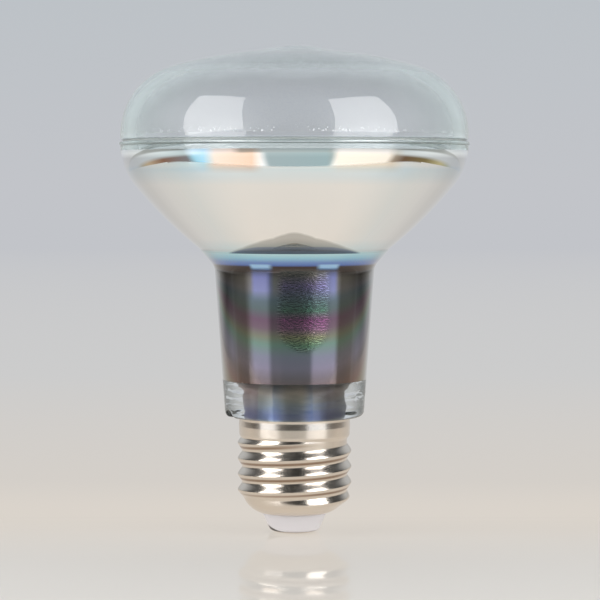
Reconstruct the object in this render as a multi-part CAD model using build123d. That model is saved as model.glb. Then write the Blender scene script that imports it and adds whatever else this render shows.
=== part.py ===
"""Glass reflector lamp with a screw cap: lens, coated glass body, cap, light board and driver."""

import math
import os

from build123d import *

# All sizes are in millimetres. The lamp axis is Z, the tip of the centre contact is at zero height
# and the lens is on top. Angles are in degrees, turned anticlockwise from +X as seen from above.

# Screw cap: contact, insulator and rolled shell
CONTACT_RADIUS = 5.25
CONTACT_FLAT_RADIUS = 3.6
CONTACT_THICKNESS = 0.4
STEM_RADIUS = 1.3
STEM_HEAD_RADIUS = 2.3
STEM_HEAD_THICKNESS = 0.6
NOSE_TIP_RADIUS = 5.85
NOSE_HEIGHT = 3.9
NOSE_EDGE_ROUND = 0.9
INSULATOR_FLANGE_RADIUS = 10.4
INSULATOR_FLANGE_TOP = 3.1
INSULATOR_HUB_RADIUS = 3.2
INSULATOR_HUB_RISE = 1.0

SHELL_WALL = 0.3
SHELL_HEIGHT = 22.5
SHELL_MOUTH_RADIUS = 7.6
SHELL_END_ROUND = 4.35
SHELL_SEAM_ANGLE = 30.0
THREAD_MINOR_RADIUS = 12.05
THREAD_DEPTH = 1.1
THREAD_MAJOR_RADIUS = THREAD_MINOR_RADIUS + THREAD_DEPTH
THREAD_PITCH = 3.629
THREAD_PHASE = 3.66
THREAD_START = 2.65
THREAD_RUN_IN = 0.55
THREAD_RUN_OUT = 0.45
THREAD_SINK = 0.4
THREAD_STEPS = 10
COLLAR_RISE = 0.8
COLLAR_RADIUS = THREAD_MINOR_RADIUS + COLLAR_RISE
COLLAR_HEIGHT = 4.35
COLLAR_STEP = 0.8

# Glass body: boss, foot, neck, flare, bowl and rim
CEMENT_WALL = 0.85
BOSS_RADIUS = THREAD_MINOR_RADIUS - SHELL_WALL - CEMENT_WALL
BOSS_HEIGHT = 7.3
BOSS_EDGE_ROUND = 0.6
FOOT_GAP = 0.05
FOOT_THICKNESS = 8.35
FOOT_EDGE_ROUND = 1.2
NECK_FOOT_RADIUS = 16.0
NECK_TAPER = 4.05
NECK_WALL = 2.4
LEDGE_ROUND = 1.0
BORE_RADIUS = 7.7
BORE_DRAFT = 0.4
BORE_ENTRY_ROUND = 2.6
FLARE_ANGLE = 41.0
FLARE_ROUND = 3.0
FLARE_INNER_ROUND = 5.0
SEAM_RADIUS = 21.75
SEAM_HEIGHT = 38.55
SEAM_LAND = 0.25
SEAM_DRAFT = 0.05
BULB_RADIUS = 39.85
BOWL_HEIGHT = 23.6
BOWL_SHOULDER_ROUND = 14.0
BOWL_FLANK_ROUND = 100.0
BOWL_WALL = 2.6
RIM_HEIGHT = 1.95
RIM_BEAD = 0.35
RIM_EDGE_INSET = 0.25
NOTCH_RADIUS = 2.6
NOTCH_INSET = 0.2
NOTCH_DROP = 0.65
NOTCH_ANGLE = 200.0

# Front lens and its bond
BOND_THICKNESS = 0.35
BOND_INSET = 0.5
LENS_HEIGHT = 20.7
LENS_RIM_WALL = 2.75
LENS_CROWN_WALL = 3.5
LENS_CROWN_ROUND = 103.0
LENS_SHOULDER_ROUND = 16.0
LENS_INNER_CROWN_ROUND = 130.0
LENS_INNER_SHOULDER_ROUND = 14.0
PIP_RADIUS = 9.0
PIP_RISE = 1.0
PIP_BLEND = 8.0

# Heat sink, light board and light packages
HEAT_SINK_HEIGHT = 25.1
HEAT_SINK_WALL = 1.3
HEAT_SINK_PLATE = 2.0
LED_BOARD_THICKNESS = 1.2
LED_BOARD_INSET = 0.9
LED_SIZE = 3.0
LED_HEIGHT = 0.65
LED_PITCH = 4.1
LED_ROWS = 3
LED_WELL_RADIUS = 1.15
LED_WELL_DEPTH = 0.3
SCREW_RADIUS = 1.2
SCREW_HEAD_RADIUS = 2.2
SCREW_HEAD_HEIGHT = 1.3
SCREW_SLOT_WIDTH = 0.5
SCREW_SLOT_DEPTH = 0.6
SCREW_CIRCLE = 11.0

# Driver sleeve and board
SLEEVE_WALL = 0.9
SLEEVE_ROOF = 1.0
SLEEVE_TOP_GAP = 0.2
RIB_WIDTH = 1.2
RIB_REACH = 1.6
BOARD_THICKNESS = 1.2
BOARD_EDGE_GAP = 0.4
BOARD_TOP_GAP = 1.1
TAIL_HALF_WIDTH = 6.5
TAIL_LENGTH = 21.0

# Driver components
PART_GAP = 0.4
CAPACITOR_RADIUS = 3.15
CAPACITOR_LENGTH = 12.0
CAPACITOR_GROOVE = 0.35
CAPACITOR_GROOVE_RISE = 1.6
OUTPUT_CAPACITOR_RADIUS = 2.5
OUTPUT_CAPACITOR_LENGTH = 9.0
CHOKE_RADIUS = 3.6
CHOKE_WAIST_RADIUS = 1.8
CHOKE_HEIGHT = 6.4
CHOKE_FLANGE = 1.0
CHOKE_WINDING_RADIUS = 3.1
FILM_WIDTH = 6.0
FILM_DEPTH = 3.0
FILM_HEIGHT = 5.0
CHIP_WIDTH = 4.9
CHIP_HEIGHT = 3.9
CHIP_DEPTH = 1.4
CHIP_PIN_WIDTH = 0.42
CHIP_PIN_REACH = 1.0
CHIP_PIN_PITCH = 1.27
CHIP_PINS = 4
RECTIFIER_WIDTH = 4.7
RECTIFIER_HEIGHT = 3.9
RECTIFIER_DEPTH = 2.4
RECTIFIER_PIN_PITCH = 2.5
RECTIFIER_PIN_WIDTH = 0.65
FUSE_RADIUS = 1.5
FUSE_LENGTH = 7.0
FUSE_WAIST_RADIUS = 1.25
FUSE_END_LENGTH = 1.6
FUSE_LEAD_RADIUS = 0.3
FUSE_LEAD_REACH = 1.4

# Leads
WIRE_RADIUS = 0.5
WIRE_BEND = 0.9
WIRE_LAP = 3.0
LED_WIRE_X = 9.0
LED_WIRE_PAD = 1.9
CAP_WIRE_X = 3.5

# Clearances shared by the parts that meet
SLIP = 0.2
SNUG = 0.1
BOND_FILM = 0.02

# Heights that follow from the sizes above
NOSE_TOP_Z = CONTACT_THICKNESS + NOSE_HEIGHT
SHELL_TOP_Z = NOSE_TOP_Z + SHELL_HEIGHT
FOOT_Z = SHELL_TOP_Z + FOOT_GAP
LEDGE_Z = FOOT_Z + FOOT_THICKNESS
SEAM_Z = FOOT_Z + SEAM_HEIGHT
EQUATOR_Z = SEAM_Z + BOWL_HEIGHT
RIM_TOP_Z = EQUATOR_Z + RIM_HEIGHT / 2
LENS_Z = RIM_TOP_Z + BOND_THICKNESS
LENS_APEX_Z = LENS_Z + LENS_HEIGHT
HEAT_SINK_TOP_Z = LEDGE_Z + HEAT_SINK_HEIGHT
LED_BOARD_TOP_Z = HEAT_SINK_TOP_Z + LED_BOARD_THICKNESS
SLEEVE_TOP_Z = HEAT_SINK_TOP_Z - HEAT_SINK_PLATE - SLEEVE_TOP_GAP
BOARD_Z = LEDGE_Z + BOND_FILM
BOARD_TOP_Z = SLEEVE_TOP_Z - SLEEVE_ROOF - BOARD_TOP_GAP
TAIL_Z = BOARD_Z - TAIL_LENGTH
BOARD_FACE = BOARD_THICKNESS / 2


def neck_radius(height):
    """Outer radius of the tapered neck at a height."""
    return NECK_FOOT_RADIUS + (height - FOOT_Z) * math.tan(math.radians(NECK_TAPER))


def cavity_radius(height):
    """Inner radius of the tapered neck at a height."""
    return neck_radius(height) - NECK_WALL


def heat_sink_radius(height):
    """Outer radius of the heat sink, which follows the glass with a slip clearance."""
    return cavity_radius(height) - SLIP


def sleeve_radius(height):
    """Outer radius of the driver sleeve inside the heat sink."""
    return heat_sink_radius(height) - HEAT_SINK_WALL - SLIP


def turned(outline):
    """Solid turned about the lamp axis from a closed outline drawn as radius and height."""
    edges = [edge for piece in outline for edge in piece.edges()]
    return revolve(Plane.XZ * make_face(edges), Axis.Z)


def arc_about(centre, start, end):
    """Shorter arc about a centre from one point to another."""
    centre, start, end = Vector(centre), Vector(start), Vector(end)
    bisector = ((start - centre).normalized() + (end - centre).normalized()).normalized()
    return ThreePointArc(start, centre + bisector * (start - centre).length, end)


def upright(radius, bottom, top, x=0.0, y=0.0):
    """Upright cylinder between two heights."""
    return Pos(x, y, (bottom + top) / 2) * Cylinder(radius, top - bottom)


def block(size, centre):
    """Box of a size about its centre."""
    return Pos(*centre) * Box(*size)


def wire(points, radius, bend):
    """Round wire along straight runs joined by bends."""
    path = FilletPolyline(*points, radius=bend)
    start = Plane(path @ 0, z_dir=path % 0)
    return sweep(start * Circle(radius), path=path)


def neck_flare_point(start, angle, radius_at):
    """Point where a line that falls inward at an angle meets a tapered neck wall."""
    start = Vector(start)
    slope = math.tan(math.radians(angle))
    taper = math.tan(math.radians(NECK_TAPER))
    drop = (start.X - radius_at(start.Y)) / (slope - taper)
    return Vector(start.X - drop * slope, start.Y - drop)


def bowl_arcs():
    """Centres of the shoulder and flank arcs of the bowl: tangent to each other, through the seam."""
    shoulder = Vector(BULB_RADIUS - BOWL_SHOULDER_ROUND, EQUATOR_Z)
    seam = Vector(SEAM_RADIUS, SEAM_Z)
    span = seam - shoulder
    reach = BOWL_FLANK_ROUND - BOWL_SHOULDER_ROUND
    along = (span.length**2 + reach**2 - BOWL_FLANK_ROUND**2) / (2 * span.length)
    across = math.sqrt(reach**2 - along**2)
    unit = span.normalized()
    flank = shoulder + unit * along + Vector(unit.Y, -unit.X) * across
    return shoulder, flank


def bowl_side(inset):
    """Shoulder and flank arcs of the bowl at an inset from its outer face, from the equator down."""
    shoulder, flank = bowl_arcs()
    outward = (shoulder - flank).normalized()
    top = shoulder + Vector(BOWL_SHOULDER_ROUND - inset, 0)
    meeting = shoulder + outward * (BOWL_SHOULDER_ROUND - inset)
    seam_way = (Vector(SEAM_RADIUS, SEAM_Z) - flank).normalized()
    foot = flank + seam_way * (BOWL_FLANK_ROUND - inset)
    fall = math.degrees(math.atan2(-seam_way.Y, seam_way.X))
    return top, arc_about(shoulder, top, meeting), arc_about(flank, meeting, foot), foot, fall


def reflector_body():
    """Pressed glass body: boss, thick foot, tapered neck, flare, bowl and beaded rim in one piece."""
    equator, shoulder, flank, seam, _ = bowl_side(0.0)
    inner_equator, inner_shoulder, inner_flank, inner_seam, inner_fall = bowl_side(BOWL_WALL)
    rim_outer = Vector(BULB_RADIUS - RIM_EDGE_INSET, RIM_TOP_Z)
    bead = Vector(BULB_RADIUS + RIM_BEAD, (EQUATOR_Z + RIM_TOP_Z) / 2)
    rim_inner = Vector(inner_equator.X, RIM_TOP_Z)
    land = Vector(SEAM_RADIUS - SEAM_DRAFT, SEAM_Z - SEAM_LAND)
    flare = neck_flare_point(land, FLARE_ANGLE, neck_radius)
    boss_z = FOOT_Z - BOSS_HEIGHT
    bore_top = BORE_RADIUS + (LEDGE_Z - boss_z) * math.tan(math.radians(BORE_DRAFT))
    inner_flare = neck_flare_point(inner_seam, inner_fall, cavity_radius)
    outside = FilletPolyline(
        land,
        flare,
        (NECK_FOOT_RADIUS, FOOT_Z),
        (BOSS_RADIUS, FOOT_Z),
        (BOSS_RADIUS, boss_z),
        (BORE_RADIUS, boss_z),
        radius=[FLARE_ROUND, FOOT_EDGE_ROUND, BOSS_EDGE_ROUND, BOSS_EDGE_ROUND],
    )
    inside = FilletPolyline(
        (BORE_RADIUS, boss_z),
        (bore_top, LEDGE_Z),
        (cavity_radius(LEDGE_Z), LEDGE_Z),
        inner_flare,
        inner_seam,
        radius=[BORE_ENTRY_ROUND, LEDGE_ROUND, FLARE_INNER_ROUND],
    )
    glass = turned(
        [
            ThreePointArc(rim_outer, bead, equator),
            shoulder,
            flank,
            Line(seam, land),
            outside,
            inside,
            inner_flank,
            inner_shoulder,
            Line(inner_equator, rim_inner),
            Line(rim_inner, rim_outer),
        ]
    )
    notch = Pos(NECK_FOOT_RADIUS + NOTCH_INSET, 0, FOOT_Z - NOTCH_DROP) * Sphere(NOTCH_RADIUS)
    return glass - Rot(0, 0, NOTCH_ANGLE) * notch


def dome(rim_radius, apex_z, crown_round, shoulder_round):
    """Upright rim, round shoulder and shallow crown, each tangent to the next, with their key points."""
    crown = Vector(0, apex_z - crown_round)
    across = rim_radius - shoulder_round
    shoulder = crown + Vector(across, math.sqrt((crown_round - shoulder_round) ** 2 - across**2))
    meeting = crown + (shoulder - crown).normalized() * crown_round
    rim_top = Vector(rim_radius, shoulder.Y)
    edges = [Line((rim_radius, LENS_Z), rim_top), arc_about(shoulder, rim_top, meeting)]
    return edges, crown, meeting


def front_lens():
    """Pressed glass lens with a shallow crown and a raised pip at its centre."""
    inner_apex = LENS_APEX_Z - LENS_CROWN_WALL
    inner_radius = BULB_RADIUS - LENS_RIM_WALL
    outer, crown, meeting = dome(BULB_RADIUS, LENS_APEX_Z, LENS_CROWN_ROUND, LENS_SHOULDER_ROUND)
    inner, inner_crown, inner_meeting = dome(
        inner_radius, inner_apex, LENS_INNER_CROWN_ROUND, LENS_INNER_SHOULDER_ROUND
    )
    pip_foot = crown + Vector(PIP_RADIUS, math.sqrt(LENS_CROWN_ROUND**2 - PIP_RADIUS**2))
    pip_top = Vector(0, LENS_APEX_Z + PIP_RISE)
    sagitta = pip_top.Y - pip_foot.Y
    pip_round = (PIP_RADIUS**2 + sagitta**2) / (2 * sagitta)
    outline = outer + [
        arc_about(crown, meeting, pip_foot),
        arc_about(pip_top - Vector(0, pip_round), pip_foot, pip_top),
        Line(pip_top, (0, inner_apex)),
        arc_about(inner_crown, (0, inner_apex), inner_meeting),
        *inner,
        Line((inner_radius, LENS_Z), (BULB_RADIUS, LENS_Z)),
    ]
    face = make_face([edge for piece in outline for edge in piece.edges()])
    corner = face.vertices().sort_by_distance(pip_foot)[0]
    face = fillet(corner, PIP_BLEND)
    return revolve(Plane.XZ * face, Axis.Z)


def lens_bond():
    """Ring of clear sealant between the rim of the body and the lens."""
    outer = BULB_RADIUS - BOND_INSET
    inner = BULB_RADIUS - min(BOWL_WALL, LENS_RIM_WALL) + BOND_INSET / 2
    ring = upright(outer, RIM_TOP_Z, LENS_Z) - upright(inner, RIM_TOP_Z, LENS_Z)
    return ring


def ease(share):
    """Smooth step from nought to one over a share of a run."""
    share = max(0.0, min(1.0, share))
    return share * share * (3 - 2 * share)


def thread_path(radius, dip):
    """Right-hand thread line about the axis that dips below the surface at both ends."""
    start_z = NOSE_TOP_Z + THREAD_START
    turns = (collar_foot_z() - start_z) / THREAD_PITCH
    start_turn = (THREAD_START - THREAD_PHASE) / THREAD_PITCH
    steps = math.ceil(turns * THREAD_STEPS)
    points = []
    for step in range(steps + 1):
        done = turns * step / steps
        rise = ease(done / THREAD_RUN_IN) * ease((turns - done) / THREAD_RUN_OUT)
        angle = 2 * math.pi * (start_turn + done)
        reach = radius - dip * (1 - rise)
        points.append((reach * math.cos(angle), reach * math.sin(angle), start_z + done * THREAD_PITCH))
    return Spline(*points), math.degrees(2 * math.pi * start_turn), start_z


def thread_ridge(inset):
    """Round-crested ridge at an inset from the outer thread, swept along the thread line."""
    crest = THREAD_MAJOR_RADIUS - inset
    root = THREAD_MINOR_RADIUS - inset
    depth = crest - root
    # Crest and root of a knuckle thread are arcs of one radius that meet at half depth.
    knuckle = (THREAD_PITCH**2 / 4 + depth**2) / (4 * depth)
    flank = Vector(THREAD_PITCH / 2, knuckle * 2 - depth).normalized()
    crest_round = knuckle - inset
    shoulder = Vector(crest - crest_round, 0) + Vector(flank.Y, flank.X) * crest_round
    foot = Vector(root - THREAD_SINK, shoulder.Y + (shoulder.X - root + THREAD_SINK) * flank.Y / flank.X)
    low_shoulder = Vector(shoulder.X, -shoulder.Y)
    low_foot = Vector(foot.X, -foot.Y)
    dip = depth + SHELL_WALL
    path, start_angle, start_z = thread_path(root, dip)
    outline = [
        Line(foot, shoulder),
        ThreePointArc(shoulder, (crest, 0), low_shoulder),
        Polyline(low_shoulder, low_foot, foot),
    ]
    section = Pos(-dip, start_z) * make_face([edge for piece in outline for edge in piece.edges()])
    return sweep(Rot(0, 0, start_angle) * (Plane.XZ * section), path=path, is_frenet=True)


def collar_foot_z():
    """Height at which the collar has taken over from the thread."""
    return SHELL_TOP_Z - COLLAR_HEIGHT


def shell_body(inset):
    """Plain turned form of the shell at an inset from its outer face: round end, barrel and collar."""
    root = THREAD_MINOR_RADIUS - inset
    end_round = SHELL_END_ROUND - inset
    centre = Vector(THREAD_MINOR_RADIUS - SHELL_END_ROUND, NOSE_TOP_Z + SHELL_END_ROUND)
    bottom = Vector(centre.X, centre.Y - end_round)
    barrel = Vector(root, centre.Y)
    collar = COLLAR_RADIUS - inset
    # A wall of even thickness shifts the corners of the slanted step along the axis.
    slant = math.atan2(COLLAR_RADIUS - THREAD_MINOR_RADIUS, COLLAR_STEP)
    step = collar_foot_z() - COLLAR_STEP + inset * math.tan(slant / 2)
    return turned(
        [
            Line((0, bottom.Y), bottom),
            arc_about(centre, bottom, barrel),
            Polyline(
                barrel,
                (root, step),
                (collar, step + COLLAR_STEP),
                (collar, SHELL_TOP_Z),
                (0, SHELL_TOP_Z),
                (0, bottom.Y),
            ),
        ]
    )


def cap_shell():
    """Rolled screw shell of even wall: the thread is a ridge outside and a groove inside."""
    outside = Rot(0, 0, SHELL_SEAM_ANGLE) * shell_body(0.0) + thread_ridge(0.0)
    inside = Rot(0, 0, SHELL_SEAM_ANGLE) * shell_body(SHELL_WALL) + thread_ridge(SHELL_WALL)
    mouth = upright(SHELL_MOUTH_RADIUS, 0, NOSE_TOP_Z + SHELL_END_ROUND)
    return outside - inside - mouth


def cap_insulator():
    """White nose that fills the mouth of the shell, with a flange held inside its rounded end."""
    centre = Vector(THREAD_MINOR_RADIUS - SHELL_END_ROUND, NOSE_TOP_Z + SHELL_END_ROUND)
    seat_round = SHELL_END_ROUND - SHELL_WALL - BOND_FILM
    neck = SHELL_MOUTH_RADIUS - SNUG
    across = INSULATOR_FLANGE_RADIUS - centre.X
    seat_low = centre - Vector(0, seat_round)
    seat_high = centre + Vector(across, -math.sqrt(seat_round**2 - across**2))
    bore = STEM_RADIUS + SNUG / 2
    flange_top = NOSE_TOP_Z + INSULATOR_FLANGE_TOP
    hub_top = flange_top + INSULATOR_HUB_RISE
    nose = FilletPolyline(
        (bore, CONTACT_THICKNESS),
        (NOSE_TIP_RADIUS, CONTACT_THICKNESS),
        (neck, NOSE_TOP_Z),
        (neck, seat_low.Y),
        radius=[NOSE_EDGE_ROUND, 0],
    )
    return turned(
        [
            nose,
            Line((neck, seat_low.Y), seat_low),
            arc_about(centre, seat_low, seat_high),
            Polyline(
                seat_high,
                (INSULATOR_FLANGE_RADIUS, flange_top),
                (INSULATOR_HUB_RADIUS, flange_top),
                (INSULATOR_HUB_RADIUS, hub_top),
                (bore, hub_top),
                (bore, CONTACT_THICKNESS),
            ),
        ]
    )


def stem_top_z():
    """Height of the upset head that ends the stem of the contact."""
    return NOSE_TOP_Z + INSULATOR_FLANGE_TOP + INSULATOR_HUB_RISE + STEM_HEAD_THICKNESS


def centre_contact():
    """Contact disc with a flat tip and round edge, riveted through the insulator by its stem."""
    head_z = stem_top_z() - STEM_HEAD_THICKNESS
    return turned(
        [
            Line((0, 0), (CONTACT_FLAT_RADIUS, 0)),
            TangentArc(
                (CONTACT_FLAT_RADIUS, 0),
                (CONTACT_RADIUS, CONTACT_THICKNESS),
                tangent=(1, 0),
            ),
            Polyline(
                (CONTACT_RADIUS, CONTACT_THICKNESS),
                (STEM_RADIUS, CONTACT_THICKNESS),
                (STEM_RADIUS, head_z),
                (STEM_HEAD_RADIUS, head_z),
                (STEM_HEAD_RADIUS, stem_top_z()),
                (0, stem_top_z()),
                (0, 0),
            ),
        ]
    )


def cap_cement():
    """Cement between the glass boss and the shell, under the foot."""
    barrel = THREAD_MINOR_RADIUS - SHELL_WALL - BOND_FILM
    collar = COLLAR_RADIUS - SHELL_WALL - BOND_FILM
    boss = BOSS_RADIUS + BOND_FILM
    bottom = FOOT_Z - BOSS_HEIGHT + BOSS_EDGE_ROUND
    top = FOOT_Z - BOSS_EDGE_ROUND - BOND_FILM
    collar_z = collar_foot_z() + SHELL_WALL
    ring = upright(barrel, bottom, top) + upright(collar, collar_z, top)
    return ring - upright(boss, bottom, top)


def lead_holes(bottom, top):
    """Two upright holes for the leads of the light board."""
    radius = WIRE_RADIUS + SLIP * 2
    side = -BOARD_FACE - WIRE_RADIUS
    return [upright(radius, bottom, top, x, side) for x in (-LED_WIRE_X, LED_WIRE_X)]


def screw_places():
    """Places of the two screws of the light board."""
    return [(0, -SCREW_CIRCLE), (0, SCREW_CIRCLE)]


def cup(radius_at, wall, bottom, top, roof, chamfer_size):
    """Tapered cup with a closed top and an open foot."""
    low, high = radius_at(bottom), radius_at(top)
    outside = turned(
        [
            Polyline(
                (0, bottom),
                (low - chamfer_size, bottom),
                (radius_at(bottom + chamfer_size), bottom + chamfer_size),
                (high, top),
                (0, top),
                (0, bottom),
            )
        ]
    )
    ceiling = top - roof
    inside = turned(
        [
            Polyline(
                (0, bottom),
                (low - wall, bottom),
                (radius_at(ceiling) - wall, ceiling),
                (0, ceiling),
                (0, bottom),
            )
        ]
    )
    return outside, inside


def heat_sink():
    """Aluminium cup that stands on the glass ledge and carries the light board."""
    chamfer_size = LEDGE_ROUND - SNUG
    outside, inside = cup(
        heat_sink_radius,
        HEAT_SINK_WALL,
        LEDGE_Z + BOND_FILM,
        HEAT_SINK_TOP_Z,
        HEAT_SINK_PLATE,
        chamfer_size,
    )
    sink = outside - inside
    plate_z = HEAT_SINK_TOP_Z - HEAT_SINK_PLATE
    for x, y in screw_places():
        sink -= upright(SCREW_RADIUS + BOND_FILM, plate_z, HEAT_SINK_TOP_Z, x, y)
    for hole in lead_holes(plate_z, HEAT_SINK_TOP_Z):
        sink -= hole
    return sink


def led_board():
    """Round light board on the top of the heat sink."""
    radius = heat_sink_radius(HEAT_SINK_TOP_Z) - LED_BOARD_INSET
    board = upright(radius, HEAT_SINK_TOP_Z, LED_BOARD_TOP_Z)
    for x, y in screw_places():
        board -= upright(SCREW_RADIUS + SNUG, HEAT_SINK_TOP_Z, LED_BOARD_TOP_Z, x, y)
    for hole in lead_holes(HEAT_SINK_TOP_Z, LED_BOARD_TOP_Z):
        board -= hole
    return board


def led_places():
    """Centres of the light packages, in a square grid."""
    middle = (LED_ROWS - 1) / 2
    rows = range(LED_ROWS)
    return [((i - middle) * LED_PITCH, (j - middle) * LED_PITCH) for i in rows for j in rows]


def led_packages():
    """Light packages on the board, each with a round well."""
    top = LED_BOARD_TOP_Z + LED_HEIGHT
    package = block((LED_SIZE, LED_SIZE, LED_HEIGHT), (0, 0, LED_BOARD_TOP_Z + LED_HEIGHT / 2))
    package -= upright(LED_WELL_RADIUS, top - LED_WELL_DEPTH, top)
    return Compound(children=[Pos(x, y, 0) * package for x, y in led_places()])


def led_phosphors():
    """Phosphor fill in the well of each light package."""
    top = LED_BOARD_TOP_Z + LED_HEIGHT
    bottom = top - LED_WELL_DEPTH
    radius = LED_WELL_RADIUS - BOND_FILM
    return Compound(children=[upright(radius, bottom, top, x, y) for x, y in led_places()])


def board_screws():
    """Two slotted screws that hold the light board on the heat sink."""
    head_top = LED_BOARD_TOP_Z + SCREW_HEAD_HEIGHT
    screw = upright(SCREW_HEAD_RADIUS, LED_BOARD_TOP_Z, head_top)
    screw = fillet(screw.edges().group_by(Axis.Z)[-1], SCREW_HEAD_HEIGHT / 3)
    screw += upright(SCREW_RADIUS, HEAT_SINK_TOP_Z - HEAT_SINK_PLATE, LED_BOARD_TOP_Z)
    slot = (SCREW_HEAD_RADIUS * 3, SCREW_SLOT_WIDTH, SCREW_SLOT_DEPTH)
    screw -= block(slot, (0, 0, head_top - SCREW_SLOT_DEPTH / 2))
    return Compound(children=[Pos(x, y, 0) * screw for x, y in screw_places()])


def led_lead(side):
    """Lead from the face of the driver board up through the heat sink to a pad on the light board."""
    face = -BOARD_FACE - WIRE_RADIUS
    pad_z = LED_BOARD_TOP_Z + WIRE_RADIUS
    x = side * LED_WIRE_X
    points = [
        (x, face, BOARD_TOP_Z - WIRE_LAP),
        (x, face, pad_z),
        (x - side * LED_WIRE_PAD, face, pad_z),
    ]
    return wire(points, WIRE_RADIUS, WIRE_BEND)


def sleeve_cavity():
    """Outer form and hollow of the driver sleeve."""
    return cup(sleeve_radius, SLEEVE_WALL, LEDGE_Z + BOND_FILM, SLEEVE_TOP_Z, SLEEVE_ROOF, SLIP)


def board_half_width():
    """Half width of the driver board, set by the foot of the sleeve."""
    return sleeve_radius(LEDGE_Z) - SLEEVE_WALL - BOARD_EDGE_GAP


def driver_sleeve():
    """Insulating cup inside the heat sink, with two pairs of ribs that guide the driver board."""
    outside, inside = sleeve_cavity()
    sleeve = outside - inside
    slot = BOARD_FACE + SNUG
    reach = sleeve_radius(SLEEVE_TOP_Z)
    inner_edge = board_half_width() - RIB_REACH
    height = SLEEVE_TOP_Z - LEDGE_Z
    for side in (-1, 1):
        for face in (-1, 1):
            centre = (
                side * (inner_edge + reach) / 2,
                face * (slot + RIB_WIDTH / 2),
                LEDGE_Z + height / 2,
            )
            sleeve += block((reach - inner_edge, RIB_WIDTH, height), centre) & inside
    for hole in lead_holes(SLEEVE_TOP_Z - SLEEVE_ROOF, SLEEVE_TOP_Z):
        sleeve -= hole
    return sleeve


def driver_board():
    """Driver board: a wide body in the sleeve on the ledge and a tail down into the cap."""
    half = board_half_width()
    outline = Polyline(
        (-half, BOARD_TOP_Z),
        (-half, BOARD_Z),
        (-TAIL_HALF_WIDTH, BOARD_Z),
        (-TAIL_HALF_WIDTH, TAIL_Z),
        (TAIL_HALF_WIDTH, TAIL_Z),
        (TAIL_HALF_WIDTH, BOARD_Z),
        (half, BOARD_Z),
        (half, BOARD_TOP_Z),
        close=True,
    )
    face = Plane.XZ * make_face(outline.edges())
    return extrude(face, BOARD_FACE, both=True)


def body_middle_z():
    """Middle height of the wide body of the driver board."""
    return (BOARD_Z + BOARD_TOP_Z) / 2


def can(radius, length, x, side, z):
    """Round capacitor lying along the board, with a rolled groove near its foot."""
    y = side * (BOARD_FACE + radius)
    bottom = z - length / 2
    body = upright(radius, bottom, bottom + length, x, y)
    groove = Torus(radius, CAPACITOR_GROOVE)
    return body - Pos(x, y, bottom + CAPACITOR_GROOVE_RISE) * groove


def smoothing_capacitor():
    """Smoothing capacitor on the back of the driver board."""
    x = -CAPACITOR_RADIUS - PART_GAP
    return can(CAPACITOR_RADIUS, CAPACITOR_LENGTH, x, 1, body_middle_z())


def output_capacitor():
    """Output capacitor on the front of the driver board."""
    x = -OUTPUT_CAPACITOR_RADIUS - PART_GAP
    return can(OUTPUT_CAPACITOR_RADIUS, OUTPUT_CAPACITOR_LENGTH, x, -1, body_middle_z())


def choke_frame():
    """Place of the choke on the back of the driver board."""
    return Pos(CHOKE_RADIUS + PART_GAP, BOARD_FACE, body_middle_z()) * Rot(-90, 0, 0)


def choke_core():
    """Ferrite drum of the choke."""
    waist = upright(CHOKE_WAIST_RADIUS, 0, CHOKE_HEIGHT)
    low = upright(CHOKE_RADIUS, 0, CHOKE_FLANGE)
    high = upright(CHOKE_RADIUS, CHOKE_HEIGHT - CHOKE_FLANGE, CHOKE_HEIGHT)
    return choke_frame() * (waist + low + high)


def choke_winding():
    """Copper winding between the flanges of the drum."""
    bottom = CHOKE_FLANGE + BOND_FILM
    top = CHOKE_HEIGHT - CHOKE_FLANGE - BOND_FILM
    coil = upright(CHOKE_WINDING_RADIUS, bottom, top)
    return choke_frame() * (coil - upright(CHOKE_WAIST_RADIUS + BOND_FILM, bottom, top))


def film_capacitor():
    """Box capacitor on the front of the driver board."""
    x = PART_GAP + FILM_WIDTH / 2
    y = -BOARD_FACE - FILM_DEPTH / 2
    z = body_middle_z() - PART_GAP - FILM_HEIGHT / 2
    return block((FILM_WIDTH, FILM_DEPTH, FILM_HEIGHT), (x, y, z))


def flat_package(width, height, depth, pins, pitch, pin_width):
    """Moulded package on a board face, with rows of flat pins at its two sides."""
    thin = depth / 5
    shape = block((width, depth - thin, height), (0, -thin - (depth - thin) / 2, 0))
    reach = width + CHIP_PIN_REACH * 2
    for index in range(pins):
        z = (index - (pins - 1) / 2) * pitch
        shape += block((reach, thin, pin_width), (0, -thin / 2, z))
        shape += block((width + CHIP_PIN_REACH, depth / 2, pin_width), (0, -depth / 4, z))
    return shape


def driver_chip():
    """Driver chip on the front of the driver board."""
    x = PART_GAP + FILM_WIDTH / 2
    z = body_middle_z() + PART_GAP + CHIP_HEIGHT / 2
    chip = flat_package(CHIP_WIDTH, CHIP_HEIGHT, CHIP_DEPTH, CHIP_PINS, CHIP_PIN_PITCH, CHIP_PIN_WIDTH)
    return Pos(x, -BOARD_FACE, z) * chip


def tail_middle_z():
    """Middle height of the tail of the driver board."""
    return (TAIL_Z + BOARD_Z) / 2


def bridge_rectifier():
    """Bridge rectifier on the back of the tail."""
    package = flat_package(
        RECTIFIER_WIDTH,
        RECTIFIER_HEIGHT,
        RECTIFIER_DEPTH,
        2,
        RECTIFIER_PIN_PITCH,
        RECTIFIER_PIN_WIDTH,
    )
    return Pos(0, BOARD_FACE, tail_middle_z()) * Rot(0, 0, 180) * package


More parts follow.
